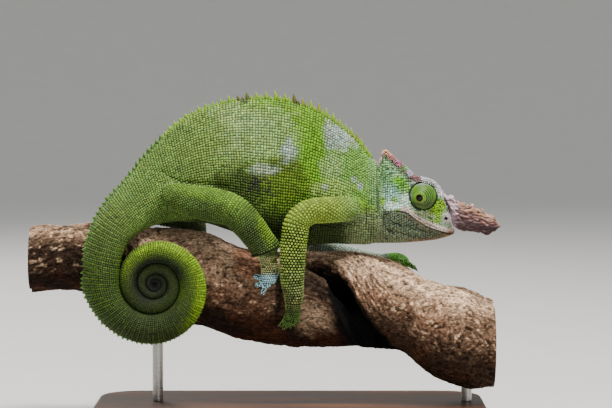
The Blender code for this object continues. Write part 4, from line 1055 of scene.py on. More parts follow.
def head_tone(points):
    x, z = points[:, 0], points[:, 2]
    mouth, crown = value_at(LIPS, x), value_at(CROWN, x)
    streaks = ramp(cloud(points * (1.0, 1.0, 0.35), 0.9, 45), 0.15, 0.5)
    from_eye = np.hypot(x - EYE_CENTRE[0], z - EYE_CENTRE[2])
    snout = patch(points, (66.3, 95.0), (4.0, 5.4), turn=-30, fray=0.2, seed=36) * (from_eye > 5.5)
    near_crown = ramp(crown - z, 3.0, 1.6)
    under_crown = ramp(crown - z, 4.6, 3.8) * ramp(x, 57.0, 53.0) * (1 - near_crown) * 0.65
    above_lips = z > mouth
    below = ~above_lips
    pale_lip = ramp(mouth - z, 3.6, 1.2) * ramp(x, 49.0, 54.0) * ramp(x, 67.0, 62.0)
    beads = ramp(z, 88.5, 85.0) * ramp(x, 62.0, 52.0)
    edge = ramp(z - value_at(CHIN, x), 2.2, 0.8)
    jaw_edge = below * np.maximum(edge * ramp(x, 48.0, 56.0), ramp(x, 66.0, 70.0)) * 0.85
    crest_layers = [
        (near_crown * patch(points, centre, reach, fray=0.15, seed=50 + number), colour)
        for number, (centre, reach, colour) in enumerate(CREST_MARKS)
    ]
    colours = lay_on(
        CASQUE,
        (ramp(x, 43.0, 38.9) * 0.6, NECK),
        *marks(points, HEAD_MARKS, 31),
        (streaks * ramp(z, 100.0, 104.0) * ramp(x, 57.0, 53.0) * 0.55, tone(48, 70, 40)),
        (ramp(from_eye, 8.6, 7.0) * ramp(x, 53.0, 56.0) * ramp(z, 100.0, 104.0), RIM_PALE),
        (snout, SNOUT_GREEN),
        (patch(points, (60.5, 93.8), (5.6, 1.9), turn=-25, seed=42) * 0.75, tone(186, 196, 160)),
        (under_crown, tone(44, 60, 42)),
        (near_crown, CREST_MAUVE),
        *crest_layers,
        (near_crown * ramp(x, 57.5, 60.0), RIM_PALE),
        (ramp(crown - z, 1.0, 0.4) * ramp(x, 54.0, 58.0) * 0.4, tone(132, 104, 98)),
        (ramp(z - mouth, 3.2, 2.3) * ramp(x, 48.0, 51.0) * above_lips, LIP_PALE),
        (ramp(z - mouth, 2.4, 0.6) * ramp(x, 68.0, 72.5) * above_lips * 0.9, LIP_BROWN),
        (below * ramp(x, 39.5, 42.0), JAW),
        (ramp(z, 97.0, 92.0) * ramp(x, 43.0, 40.0) * 0.9, NECK_BEADS),
        (pale_lip * below * 0.5, tone(136, 130, 104)),
        # painted shade: a brown shade on the front of the lower jaw, below the lips
        (below * ramp(x, 56.0, 61.0) * 0.35, tone(72, 60, 44)),
        (beads * below * 0.85, THROAT),
        (jaw_edge, LIP_BROWN),
        (near_to(points, BULGES, [2.9, 2.9]) * ramp(x, 66.5, 68.3), tone(210, 200, 204)),
    )
    return colours * (0.97 + 0.16 * cloud(points, 1.6, 7))[:, None]


head_pitch = np.interp([38.1, *head_xs], [38.9, 44.0, 55.0, 66.0, 74.1], [1.0, 1.25, 1.4, 1.1, 0.75])
scaled_head = np.concatenate([head_grid[:1] - (0.8, 0.0, 0.0), head_grid])
on_mounds = [grown(mound, 0.66, 0.66, 0.5, 0.2, 0.09, 0.8, 0.8) for mound in mounds]
head = grown(scaled_head, head_pitch * 0.9, head_pitch, 0.5, 0.14, 0.1, 1.6, 0.72)
clear = np.ones(len(head["root"]), bool)
for flip in (1, -1):
    clear &= from_eyeball(head["root"], flip) > EYE_RADIUS + 0.75
for curve in MOUTH_CURVES:
    clear &= from_curve(head["root"], curve, 120)[0] > 0.5
for place in NOSTRILS:
    clear &= from_nostril(head["root"], place) > 1.15
head = picked(head, clear)
for number, mound in enumerate(on_mounds):
    nostril = NOSTRILS[1 - number]
    own_side = mound["root"][:, 1] * nostril[1] > 2
    on_mounds[number] = picked(mound, (from_nostril(mound["root"], nostril) > 0.95) & own_side)
    on_mounds[number]["tone"] = head_tone(on_mounds[number]["root"])
head["tone"] = head_tone(head["root"])
print("scales on the head:", len(head["root"]))

# %% Limb and foot colours and scales
ARM_TONE = tone(164, 184, 104)
ARM_LOW = tone(158, 174, 116)
# paler than the near arm: partly the far arm's own pale grey-green, partly painted light, since the far arm
# lies in the body's shadow
ARM_FAR = tone(214, 228, 214)
LEG_TONE = tone(84, 102, 60)
# paler green of the painted light on the near knee and thigh
LIT_LEG_TONE = tone(136, 170, 90)
ANKLE_TONE = tone(198, 200, 150)
FOOT_CYAN = tone(202, 238, 248)
BEAD_BED = tone(22, 26, 14)


def limb_tone(points, name, place):
    """place counts rows of the limb, from its root to its foot."""
    near, x, z = name.endswith("right"), points[:, 0], points[:, 2]
    if name.startswith("hand"):
        lit = ramp(cloud(points, 1.5, 61), 0.0, 0.5) * ramp(place, 4.5, 6.0) * near
        dark = ramp(cloud(points, 1.1, 62), 0.0, 0.45) * ramp(place, 6.0, 8.0) * near
        hand = ramp(z, 55.0, 50.0) if near else ramp(x, 43.0, 46.0)
        colours = lay_on(
            ARM_TONE if near else ARM_FAR,
            (ramp(place, 3.4, 1.4) * 0.8, NECK),
            (ramp(place, 6.0, 9.0) * near, ARM_LOW),
            (lit * 0.5, tone(120, 150, 66)),
            (ramp(z, 66.0, 58.0) * near * 0.7, tone(140, 146, 100)),
            # on the far side, the hand's lime-white is partly painted light, since it lies in shade
            (hand * 0.8, tone(96, 128, 70) if near else tone(160, 236, 112)),
            (dark * 0.5, tone(36, 40, 24)),
        )
    else:
        # painted shade: the far hind leg is darkened all over, since it lies in the body's shadow
        far_leg_shade = [(np.full(len(points), 0.55), tone(58, 70, 40))]
        near_layers = [
            # painted light: the knee and the top of the thigh are paler, as if lit from above
            (near_to(points, [(-24.0, -22.0, 101.0)], [8.0]) * 0.8, LIT_LEG_TONE),
            (patch(points, (-38.0, 103.6), (15.0, 2.8), turn=-10, seed=40) * 0.6, LIT_LEG_TONE),
            (patch(points, (-10.5, 88.0), (3.0, 9.0), turn=18, fray=0.2, seed=43) * 0.45, tone(160, 196, 84)),
            (ramp(z, 76.5, 75.0), ANKLE_TONE),
            (patch(points, (-6.4, 73.6), (1.8, 1.2), fray=0.2, seed=44) * 0.9, LIME),
            (ramp(z, 68.6, 66.6), FOOT_CYAN),
        ]
        root_layer = (ramp(place, 4.2, 1.4) * 0.92, tone(118, 144, 84))
        colours = lay_on(LEG_TONE, root_layer, *(near_layers if near else far_leg_shade))
    return colours * (0.95 + 0.2 * cloud(points, 2.5, 8))[:, None]


limb_coats = {}
for name, grid in limb_grids.items():
    fine = 1.15 if name.startswith("foot") else 1.42
    pitch = np.interp(np.linspace(0, 1, len(grid)), [0, 0.4, 0.75, 1], [1.1, fine, fine, fine * 0.88])
    coat = grown(grid, pitch * 0.86, pitch, 0.5, 0.14, 0.05, 1.7, 0.72)
    coat["tone"] = limb_tone(coat["root"], name, coat["station"] / (len(grid) - 1) * (LIMB_WRIST + 0.3))
    pieces = [coat]
    for part in foot_grids[name]:
        small = 0.85 if part.shape[1] == TOE_SIDES else 1.0
        toe_coat = grown(part, small, small, 0.5, 0.2, 0.05, 0.9, 0.78)
        toe_coat["tone"] = limb_tone(toe_coat["root"], name, np.full(len(toe_coat["root"]), 9.5))
        pieces.append(toe_coat)
    limb_coats[name] = pieces
print("scales on the limbs:", sum(len(c["root"]) for cs in limb_coats.values() for c in cs))

# %% [markdown]
# ## A scale as a small mesh
# One scale is a low pillow with eight corners: a foot sunk in the skin, a shoulder, and a top. Square
# scales push the corners out, round ones pull them in. Particle instances would be lighter, but real meshes
# survive an export, so one array holds every pillow of a coat at once. Each pillow also gets a tiny patch
# in the UV map OFBake, at its root's place on the unrolled skin.

# %% Build a coat
ROUND_CORNER, SQUARE_CORNER = (0.924, 0.383), (1.0, 0.7)
FOOT_DEPTH = 0.18
PILLOW_SIDES = 8
PILLOW_POINTS = 2 * PILLOW_SIDES + 1
PILLOW_TRIANGLES = 30
UV_PATCH = 0.0013
UV_STEP = 0.0042


def pillow_outline(square):
    """Eight corners of the pillow, from round (0) to square (1), for every scale."""
    far = ROUND_CORNER[0] + (SQUARE_CORNER[0] - ROUND_CORNER[0]) * square
    near = ROUND_CORNER[1] + (SQUARE_CORNER[1] - ROUND_CORNER[1]) * square
    xs = np.stack([far, near, -near, -far, -far, -near, near, far], axis=1)
    ys = np.stack([near, far, far, near, -near, -far, -far, -near], axis=1)
    return xs, ys


def unrolled(coats):
    """A place in the UV square for every scale, from its row and its share of the way round."""
    spots, u, v, shelf = [], 0.01, 0.01, 0.0
    for coat in coats:
        wide, high = coat["widest"] * UV_STEP, min(coat["rows"] * UV_STEP, 0.97)
        if u + wide > 0.99:
            u, v, shelf = 0.01, v + shelf + 0.01, 0.0
        up = coat["row"] / max(coat["rows"], 1) * high
        spots.append(np.column_stack([u + coat["share"] * wide, v + up]))
        u, shelf = u + wide + 0.01, max(shelf, high)
    spots = np.concatenate(spots)
    return spots * min(1.0, 0.98 / spots.max())


def paint_mesh(mesh, colours, copies=1):
    """The colour attribute tone, with each colour repeated for so many points."""
    whole = np.repeat(np.column_stack([colours, np.ones(len(colours))]), copies, axis=0)
    mesh.color_attributes.new("tone", "FLOAT_COLOR", "POINT").data.foreach_set("color", single(whole))


def build_coat(name, coats, square, fill, height, swell=0.8):
    """All scales of these coats as one mesh with the colour attribute tone."""
    keys = ("root", "along", "normal", "half", "tone")
    root, along, normal, half, colours = (np.concatenate([coat[key] for coat in coats]) for key in keys)
    count = len(root)
    draw = np.random.default_rng(len(name) + count)
    normal = unit(normal + 0.05 * draw.standard_normal((count, 3)))
    along = unit(along - normal * np.sum(along * normal, axis=1, keepdims=True))
    across = np.cross(normal, along)
    size = half * fill * (1 + 0.08 * draw.standard_normal((count, 2)))
    tall = np.full(count, height) * np.minimum(1.0, half.min(axis=1) / 0.5)
    xs, ys = pillow_outline(np.broadcast_to(square, count))
    rings = []
    for share, level in ((1.0, np.full(count, -FOOT_DEPTH)), (swell, tall * 0.72)):
        lengthways = along[:, None] * (xs * size[:, :1] * share)[..., None]
        crossways = across[:, None] * (ys * size[:, 1:] * share)[..., None]
        rings.append(root[:, None] + (lengthways + crossways) + (normal * level[:, None])[:, None])
    top = root + normal * tall[:, None] + along * (size[:, :1] * 0.1)
    points = np.concatenate([rings[0], rings[1], top[:, None]], axis=1).reshape(-1, 3)
    side = np.arange(PILLOW_SIDES)
    after = (side + 1) % PILLOW_SIDES
    walls = np.stack([side, after, after + PILLOW_SIDES, side + PILLOW_SIDES], axis=1).ravel()
    tops = np.full(PILLOW_SIDES, PILLOW_POINTS - 1)
    roof = np.stack([side + PILLOW_SIDES, after + PILLOW_SIDES, tops], axis=1).ravel()
    corners = np.concatenate([walls, roof, side[::-1]])
    starts = np.concatenate([side * 4, len(walls) + side * 3, [len(walls) + len(roof)]])
    mesh = bpy.data.meshes.new(name)
    mesh.vertices.add(len(points))
    mesh.vertices.foreach_set("co", single(points * MM))
    number = np.arange(count)[:, None]
    mesh.loops.add(count * len(corners))
    mesh.loops.foreach_set("vertex_index", single(corners + PILLOW_POINTS * number, np.int32))
    mesh.polygons.add(count * len(starts))
    mesh.polygons.foreach_set("loop_start", single(starts + len(corners) * number, np.int32))
    mesh.update(calc_edges=True)
    mesh.validate()
    mesh.shade_smooth()
    paint_mesh(mesh, varied(colours, count), PILLOW_POINTS)
    centre = np.zeros((count, 1))
    local = np.stack([np.concatenate([way, way * swell, centre], axis=1) for way in (xs, ys)], axis=2)
    uv = (unrolled(coats)[:, None] + UV_PATCH * local)[:, corners]
    mesh.uv_layers.new(name="OFBake").data.foreach_set("uv", single(uv))
    print(name, "scales:", count, "triangles:", count * PILLOW_TRIANGLES)
    return into_scene(name, mesh)


near_side = flank["root"][:, 1] < 0
half_way = np.arange(len(tail["root"])) < len(tail["root"]) // 2
COATS = {  # scales, how square they are, how much of their room they fill, and their height
    "flank_scales_right": ([picked(flank, near_side)], 0.75, 0.92, 0.24),
    "flank_scales_left": ([picked(flank, ~near_side)], 0.75, 0.92, 0.24),
    "tail_scales": ([picked(tail, half_way)], 0.75, 0.92, 0.22),
    "coil_scales": ([picked(tail, ~half_way)], 0.75, 0.92, 0.22),
    "head_scales": ([head, *on_mounds], 0.3, 1.0, 0.36),
    "arm_scales": ([*limb_coats["hand_right"], *limb_coats["hand_left"]], 0.05, 0.76, 0.5),
    "leg_scales": ([*limb_coats["foot_right"], *limb_coats["foot_left"]], 0.08, 0.85, 0.4),
}
coats = {name: build_coat(name, *row) for name, row in COATS.items()}

# %% [markdown]
# ## Lips and casque edge
# Two kinds of scale are too regular to come out of the general rows: the plates along the lips, which sit
# in one line above and one below the mouth, and the blunt cones along the two edges of the casque. They are
# laid on the same curves that shaped the lip and the crest, then settled on the skin like the rest.

# %% Lines of special scales
def line_coat(points, half, colours):
    """A coat from one row of roots along a line of points."""
    ahead = unit(np.gradient(points, axis=0))
    coat = {
        "root": points,
        "along": ahead,
        "row": np.zeros(len(points)),
        "station": np.arange(len(points), dtype=float),
        "share": np.linspace(0, 1, len(points)),
        "half": np.tile(np.array(half, float), (len(points), 1)),
        "tone": colours,
        "widest": len(points),
        "rows": 3,
    }
    return settle(coat, 2.0)


def evenly(curve, step, steps=400):
    """Points on the smooth curve, the same step apart."""
    line = spline(curve, np.linspace(0, len(curve) - 1, steps))
    walk = walked(line)
    stops = np.arange(step / 2, walk[-1], step)
    return np.stack([np.interp(stops, walk, line[:, axis]) for axis in range(3)], axis=-1)


lip_coats, edge_coats = [], []
for curve in MOUTH_CURVES:
    for rise, long_half, tall_half in ((0.75, 0.58, 0.42), (1.65, 0.55, 0.45), (-0.75, 0.5, 0.4)):
        line = evenly(curve + np.array((0.3, 0.0, rise)), 1.12)
        colours = varied(head_tone(line), 12, 0.08)
        lip_coats.append(line_coat(line, (long_half, tall_half), colours))
crest_xs = np.linspace(CREST_LINE[0][0] + 0.2, CREST_LINE[-1][0], 24)
for flip in (-1, 1):
    crest_halves = flip * value_at(CROWN_HALF, crest_xs)
    curve = np.column_stack([crest_xs, crest_halves, value_at(CROWN, crest_xs) + 0.35])
    for sideways, drop, size in ((0.1, 0.0, 0.5), (0.9, 0.6, 0.46), (1.1, 1.6, 0.44)):
        line = evenly(curve + np.array((0.0, flip * sideways, -drop)), 0.92)
        colours = varied(head_tone(line), 9 + int(10 * drop), 0.12)
        edge_coats.append(line_coat(line, (size, size * 0.86), colours))
coats["lip_scales"] = build_coat("lip_scales", lip_coats, 0.7, 0.9, 0.42)
coats["casque_edge_scales"] = build_coat("casque_edge_scales", edge_coats, 0.1, 0.95, 0.75, 0.55)

# %% Share the paint with the bare skin
limb_pieces = [coat for pieces in limb_coats.values() for coat in pieces]
every_coat = [flank, tail, head, *on_mounds, *lip_coats, *edge_coats, *limb_pieces]
scale_roots = np.concatenate([coat["root"] for coat in every_coat])
pale_head = ramp(head["tone"].min(axis=1), 0.3, 0.6)[:, None]
groove_tones = [  # the skin between scales is darker than they are
    flank["tone"] * 0.24,
    tail["tone"] * 0.2,
    head["tone"] * (0.3 + 0.42 * pale_head),
    *[coat["tone"] * 0.5 for coat in on_mounds],
    *[coat["tone"] * 0.35 for coat in lip_coats + edge_coats],
]
for coat in limb_pieces:
    x, y, z = coat["root"].T
    upper = np.maximum(ramp(z, 86.0, 93.0), ramp(y, 3.0, 8.0) * (x > 0))[:, None]
    groove_tones.append(coat["tone"] * (0.06 + 0.34 * upper) + BEAD_BED * (0.7 - 0.4 * upper))
scale_tones = np.concatenate(groove_tones)
finder = finder_of(scale_roots)
nearest = np.array([finder.find(point)[1] for point in skin_points])
groove = scale_tones[nearest]
seam = ramp(np.abs(skin_points[:, 0] - 38.7), 1.3, 0.5) * (skin_points[:, 2] < 117)
on_snout = ramp(skin_points[:, 0], 67.0, 68.6)
groove = lay_on(
    groove,
    (seam, flank_tone(skin_points) * 0.45),
    (near_to(skin_points, BULGES, [2.8, 2.8]) * on_snout, tone(196, 182, 188)),
    # painted shade: the nostril holes, the mouth line and the crease round each turret are dark
    *[(ramp(from_nostril(skin_points, place), 0.95, 0.65), tone(8, 5, 6)) for place in NOSTRILS],
    *[(ramp(from_curve(skin_points, curve, 120)[0], 0.5, 0.3), tone(40, 34, 26)) for curve in MOUTH_CURVES],
    *[(ramp(from_eyeball(skin_points, flip) - EYE_RADIUS, 1.0, 0.5), tone(30, 38, 26)) for flip in (1, -1)],
)
paint_mesh(skin_mesh, groove)

# %% [markdown]
# ## Eyes
# The lids of a chameleon are fused into a turret that turns with the eye and leaves only a small round
# hole. The turret is a dome with a low cone on top; rings of granules run round the hole. The dome is a
# surface of revolution about the gaze, so the same walk along a tube lays its granules. The eyeball sits in
# the hole, black and wet, with a thin gold rim.

# %% Turrets and eyeballs
GAZE = np.array((-0.30, -0.95, -0.085))
LID_HEIGHT = 0.7
LID_SPREAD = 30.0
EYEBALL_RADIUS = 1.9
EYEBALL_DEPTH = 1.95
BALL_SIDES = 64
HOLE_ANGLE = 14.4  # degrees from the gaze to the rim of the hole
GOLD_RADIUS = 1.56  # of the thin gold rim on the eyeball
TURRET_GREEN = tone(146, 198, 66)
TURRET_LOW = tone(100, 104, 76)
TURRET_RING = tone(170, 184, 40)
TURRET_PALE = tone(196, 208, 204)
TURRET_LINE = 1.06  # how far the dark rings on the turret lie apart


def turret_rings(polar, reach, side, sides=96):
    centre = EYE_CENTRE * (1, side, 1)
    gaze = unit(GAZE * (1, side, 1))
    across = unit(np.cross(gaze, (0.0, 0.0, 1.0)))
    up = np.cross(across, gaze)
    turn = circle(sides)
    out = np.radians(polar)[:, None, None]
    spread = across * np.cos(turn)[None, :, None] + up * np.sin(turn)[None, :, None]
    rings = centre + np.asarray(reach)[:, None, None] * (gaze * np.cos(out) + spread * np.sin(out))
    return rings, centre, gaze


def lid_reach(polar):
    return EYE_RADIUS - 0.12 + LID_HEIGHT * bell(polar / LID_SPREAD)


def turret_tone(points, centre, gaze):
    way = unit(points - centre)
    polar = np.degrees(np.arccos(np.clip(way @ gaze, -1, 1)))
    height, front = way[:, 2], way[:, 0]
    speckled = ramp(cloud(points, 0.8, 19), -0.3, 0.4)
    rings = np.abs((np.radians(polar) * EYE_RADIUS / TURRET_LINE) % 1 - 0.5) * 2
    strength = ramp(polar, 20.0, 28.0) * (0.65 + 0.35 * ramp(front, -0.2, 0.3))
    colours = lay_on(
        TURRET_GREEN,
        (ramp(height, -0.1, -0.6) * (0.5 + 0.45 * speckled), TURRET_LOW),
        (ramp(front, -0.8, -0.92) * 0.8, TURRET_PALE),
        (ramp(polar, 22.5, 17.0) * 0.75, TURRET_RING),
        (ramp(height, 0.72, 0.92) * 0.6, TURRET_PALE),
        (ramp(rings, 0.4, 0.65) * strength, tone(16, 32, 14)),
    )
    return colours * (0.95 + 0.15 * cloud(points, 2.4, 9))[:, None]


def spin_mesh(name, grid, colours, inward=None):
    """A closed tube mesh with the paint attribute tone."""
    faces = grid_faces(grid.shape[0], grid.shape[1])
    if turned_in(grid) if inward is None else inward:
        faces = [face[::-1] for face in faces]
    thing = add_mesh(name, grid.reshape(-1, 3), faces)
    paint_mesh(thing.data, colours)
    return thing


def above_skin(coat):
    """Keeps the scales whose roots stand outside the skin."""
    keep = []
    for i, root in enumerate(coat["root"]):
        place, normal, _, _ = skin_tree.find_nearest(Vector(root))
        if (Vector(root) - place).dot(normal) > -0.05:
            keep.append(i)
    return picked(coat, np.array(keep, int))


turrets, eyeballs = {}, {}
for side_name, side in (("right", 1), ("left", -1)):
    polar = np.linspace(158.0, HOLE_ANGLE + 1.5, 80)
    rings, centre, gaze = turret_rings(polar, lid_reach(polar), side)
    lip_polar = np.array([HOLE_ANGLE, HOLE_ANGLE - 0.6, HOLE_ANGLE + 0.2, HOLE_ANGLE + 2.5])
    lip_reach = np.array([6.5, 6.3, 6.0, 5.4])
    lip_rings, _, _ = turret_rings(lip_polar, lip_reach, side)
    dome = np.concatenate([rings, lip_rings])
    dark = turret_tone(dome.reshape(-1, 3), centre, gaze) * 0.3
    turrets[side_name] = spin_mesh(f"turret_{side_name}", dome, dark)
    scale_polar = np.linspace(HOLE_ANGLE + 1.2, 112.0, 60)
    scale_rings, _, _ = turret_rings(scale_polar, lid_reach(scale_polar), side, 120)
    granules = lay_scales(scale_rings, TURRET_LINE / 2, 0.56, 0.5, 0.12, 0.03)
    granules["normal"] = unit(granules["root"] - centre)
    granules = above_skin(granules)
    granules["tone"] = turret_tone(granules["root"], centre, gaze)
    coat_name = f"turret_scales_{side_name}"
    coats[coat_name] = build_coat(coat_name, [granules], 0.5, 0.86, 0.2)
    middle = centre + gaze * (EYE_RADIUS + LID_HEIGHT - EYEBALL_DEPTH)
    ball_polar = np.linspace(2.0, 178.0, BALL_SIDES)
    ball_rings, _, _ = turret_rings(ball_polar, np.full(BALL_SIDES, EYEBALL_RADIUS), side, BALL_SIDES)
    ball = ball_rings - centre + middle
    off_axis = EYEBALL_RADIUS * np.sin(np.radians(ball_polar))
    gold = bell((off_axis - GOLD_RADIUS) / 0.06) * (ball_polar < 90)
    ball_tone = lay_on(tone(3, 3, 3), (gold * 0.5, tone(120, 110, 30)))
    ball_paint = np.repeat(ball_tone, BALL_SIDES, axis=0)
    eyeballs[side_name] = spin_mesh(f"eyeball_{side_name}_wet", ball, ball_paint)

# %% [markdown]
# ## Horns
# The two horns are flat blades of hard scales that point forward side by side. Their plates overlap from
# base to tip and their upper edge is notched. Sculpting would give the richest surface. A height pattern on
# a fine tube is close to it and repeatable: each plate rises towards its free edge and then drops to the
# next.

# %% Horn blades
HORN_TOP = [  # x, height of the valleys of the upper edge
    (68.0, 103.0), (70.2, 100.9), (72.9, 99.7), (74.7, 98.4), (77.9, 97.1), (82.8, 95.5), (87.5, 92.8),
    (91.9, 90.4), (94.5, 88.3),
]
HORN_TEETH = [  # x, height of the teeth above the valleys
    (68.0, 1.0), (70.2, 0.3), (72.9, 1.2), (73.2, 0.3), (75.4, 1.3), (75.7, 0.3), (78.4, 1.2),
    (78.8, 0.2), (81.9, 1.7), (82.8, 0.0), (86.8, 1.8), (87.5, 0.0), (91.6, 1.6), (92.1, 0.1),
    (94.5, 0.0),
]
HORN_LOW = [
    (68.0, 101.4), (69.6, 98.8), (71.0, 95.4), (72.0, 91.8), (73.0, 88.8), (75.4, 86.9), (78.8, 86.1),
    (84.6, 85.6), (88.2, 84.3), (90.5, 85.6), (93.2, 87.0), (94.5, 87.7),
]
HORN_HALF = [
    (68.0, 1.4), (71.5, 2.1), (80.0, 2.1), (85.0, 1.8), (88.6, 1.5), (91.6, 1.1), (94.5, 0.3),
]
HORN_APART = [
    (68.0, 2.6), (71.5, 3.3), (75.5, 3.6), (80.0, 3.9), (85.0, 4.3), (88.6, 4.6), (91.6, 4.9),
    (94.5, 5.1),
]
PLATE = (5.6, 1.2)  # length and width of one plate
HORN_ROUND = 25.0  # millimetres round the blade at its thickest
HORN_RINGS = 230
HORN_SIDES = 120
HORN_BROWN = tone(140, 98, 94)
HORN_MAUVE = tone(140, 112, 124)
HORN_PALE = tone(226, 196, 180)
# tan of the painted light on the upper side of the horn
HORN_LIGHT_TAN = tone(196, 152, 124)
HORN_DARK = tone(44, 26, 30)


def nearest_plates(along, around, seed):
    """For places on the blade: how far from an edge between plates, how far along a plate, and which one."""
    draw = np.random.default_rng(seed)
    lanes = round(HORN_ROUND / PLATE[1])
    columns = np.arange(66.0, 97.0, PLATE[0])
    lane = [(PLATE[0] * 0.5 * (k % 2), k * HORN_ROUND / lanes) for k in range(lanes)]
    sites = np.array([(x + shift, place) for x in columns for shift, place in lane])
    sites = sites + draw.uniform(-0.46, 0.46, sites.shape) * PLATE
    sites = np.concatenate([sites + (0.0, shift) for shift in (-HORN_ROUND, 0.0, HORN_ROUND)])
    step_x = (along.ravel()[:, None] - sites[None, :, 0]) / PLATE[0]
    step_y = (around.ravel()[:, None] - sites[None, :, 1]) / PLATE[1]
    away = np.hypot(step_x, step_y)
    first = away.argmin(axis=1)
    two = np.partition(away, 1, axis=1)[:, :2]
    rise = np.take_along_axis(step_x, first[:, None], axis=1)[:, 0] + 0.5
    return [values.reshape(along.shape) for values in (two[:, 1] - two[:, 0], rise, first)]


def horn_tone(points, upward, own, high, rise, edge, teeth, ridges, grain):
    """Colours of the blade: painted light on its upper side and painted shade under it, from how each place
    faces, its plate's own tint, and painted highlights and painted shade from the plates' relief.
    """
    x, z = points[:, 0], points[:, 2]
    base_top = ramp(x, 77.0, 73.0) * ramp(z, 92.5, 96.5)
    colours = lay_on(
        HORN_BROWN,
        (ramp(x, 80.0, 73.0) * 0.7, HORN_MAUVE),
        # painted light: places that face up are tan, away from the base
        (ramp(upward, 0.3, 0.9) * ramp(x, 73.0, 78.0) * 0.8, HORN_LIGHT_TAN),
        (ramp(own, 0.0, -0.6) * 0.65, HORN_DARK),
        # painted highlights on the raised free edges of the plates
        (ramp(rise + 0.3 * own, 0.6, 1.1) * ramp(high, 0.3, 0.8) * 0.75, HORN_PALE),
        (ramp(teeth, 0.5, 1.5) * 0.75, HORN_PALE),
        # painted highlights on the tops of the fine ridges, and painted shade in the grooves between them and
        # in the gaps between the plates
        (ramp(ridges, 0.4, 0.95) * 0.22, HORN_PALE),
        (ramp(ridges, 0.1, -0.7) * 0.5, HORN_DARK),
        (ramp(edge, 0.32, 0.08) * 0.85, HORN_DARK),
        (base_top * ramp(high, 0.2, 0.5) * 0.65, tone(232, 214, 220)),
        # painted shade on the underside of the blade
        (ramp(upward, 0.35, -0.45) * 0.88, tone(54, 34, 34)),
        (ramp(x, 75.5, 73.5) * ramp(z, 96.0, 93.0) * 0.6, tone(176, 154, 164)),
    )
    return np.clip(colours * (1 + 0.3 * grain)[:, None], 0.01, 0.95)


def horn_blade(name, side, rings=HORN_RINGS, sides=HORN_SIDES):
    xs = np.linspace(HORN_TOP[0][0], HORN_TOP[-1][0], rings)
    turn = circle(sides)
    top, low = value_at(HORN_TOP, xs), value_at(HORN_LOW, xs)
    tall, middle = ((top - low) / 2)[:, None], ((top + low) / 2)[:, None]
    wide, apart, x = value_at(HORN_HALF, xs)[:, None], value_at(HORN_APART, xs)[:, None], xs[:, None]
    across, upward = np.sin(turn), np.cos(turn)
    base = np.stack([x + 0 * turn, side * apart + wide * across, middle + tall * upward], axis=-1)
    outward = unit(np.stack([0 * x + 0 * turn, across / wide, upward / tall], axis=-1))
    around = turn / (2 * math.pi) * HORN_ROUND + 0 * x
    wavering = around + 0.35 * cloud(base, 2.5, 52)
    edge, rise, number = nearest_plates(x + 0.5 * cloud(base, 2.5, 51), wavering, 5)
    fade = np.clip((xs[-1] - x) / 3.0, 0.1, 1)
    plate = np.clip(edge / 0.45, 0, 1) ** 0.7 * (0.25 + 0.75 * np.clip(rise, 0, 1))
    from_top = np.minimum(turn, 2 * math.pi - turn)
    teeth = np.interp(xs, *np.array(HORN_TEETH).T)[:, None] * bell(from_top / 0.38)
    grain = cloud(base * (0.25, 1.0, 1.0), 0.6, 53)
    ridges = 1 - 2 * np.abs(cloud(base * (0.22, 1.0, 1.0), 1.3, 55))
    height = (0.85 * plate + 0.25 * grain + 0.35 * ridges) * fade - 0.5 + 1.25 * teeth
    lean = np.stack([np.ones_like(height), 0 * height, -0.25 * np.ones_like(height)], axis=-1)
    points = base + outward * height[..., None] + lean * (0.5 * plate * fade)[..., None]
    own = cloud(np.repeat(number.reshape(-1, 1), 3, axis=1) * 3.1, 1.0, 54)
    relief = (values.ravel() for values in (plate, rise, edge, teeth, ridges, grain))
    colours = horn_tone(base.reshape(-1, 3), (upward + 0 * x).ravel(), own, *relief)
    return spin_mesh(name, points, colours, turned_in(base))


horns = {"right": horn_blade("horn_blade_right", -1), "left": horn_blade("horn_blade_left", 1)}
print("horn triangles:", 4 * (HORN_RINGS - 1) * HORN_SIDES)

# %% [markdown]
# ## Crest, claws and small spikes
# A row of soft spikes follows the back from the nape to the tail. They are tall and slim over the shoulders
# and turn into a saw edge on the tail. The same bent cone, longer or shorter, also makes the claws.

# %% Bent cones
def spikes(name, rows, sides=8, levels=6):
    """Bent cones as one mesh, from foot, up, bend, length, radius, flatness, and colours at foot and tip."""
    points, faces, colours = [], [], []
    for foot, up, bend, length, radius, flatness, low_tone, tip_tone in rows:
        up, bend = unit(np.array(up, float)), unit(np.array(bend, float))
        side = unit(np.cross(up, bend))
        front = np.cross(side, up)
        first = len(points)
        for level in range(levels):
            share = level / levels
            middle = foot + up * (length * share) + bend * (length * 0.22 * share**2)
            middle = middle - up * 0.5 * (level == 0)
            size = radius * (1 - share) ** 0.8 * (1.12 if level == 0 else 1.0)
            for k in range(sides):
                turn = 2 * math.pi * k / sides
                points.append(middle + (front * math.cos(turn) + side * flatness * math.sin(turn)) * size)
                colours.append(low_tone + (tip_tone - low_tone) * share**0.8)
        points.append(foot + up * length + bend * (length * 0.22))
        colours.append(tip_tone)
        faces += grid_faces(levels, sides, first, caps=False)
        last = first + (levels - 1) * sides
        faces += [(last + k, len(points) - 1, last + (k + 1) % sides) for k in range(sides)]
        faces.append([first + k for k in range(sides)])
    thing = add_mesh(name, np.array(points), faces)
    paint_mesh(thing.data, np.clip(colours, 0, 1))
    return thing


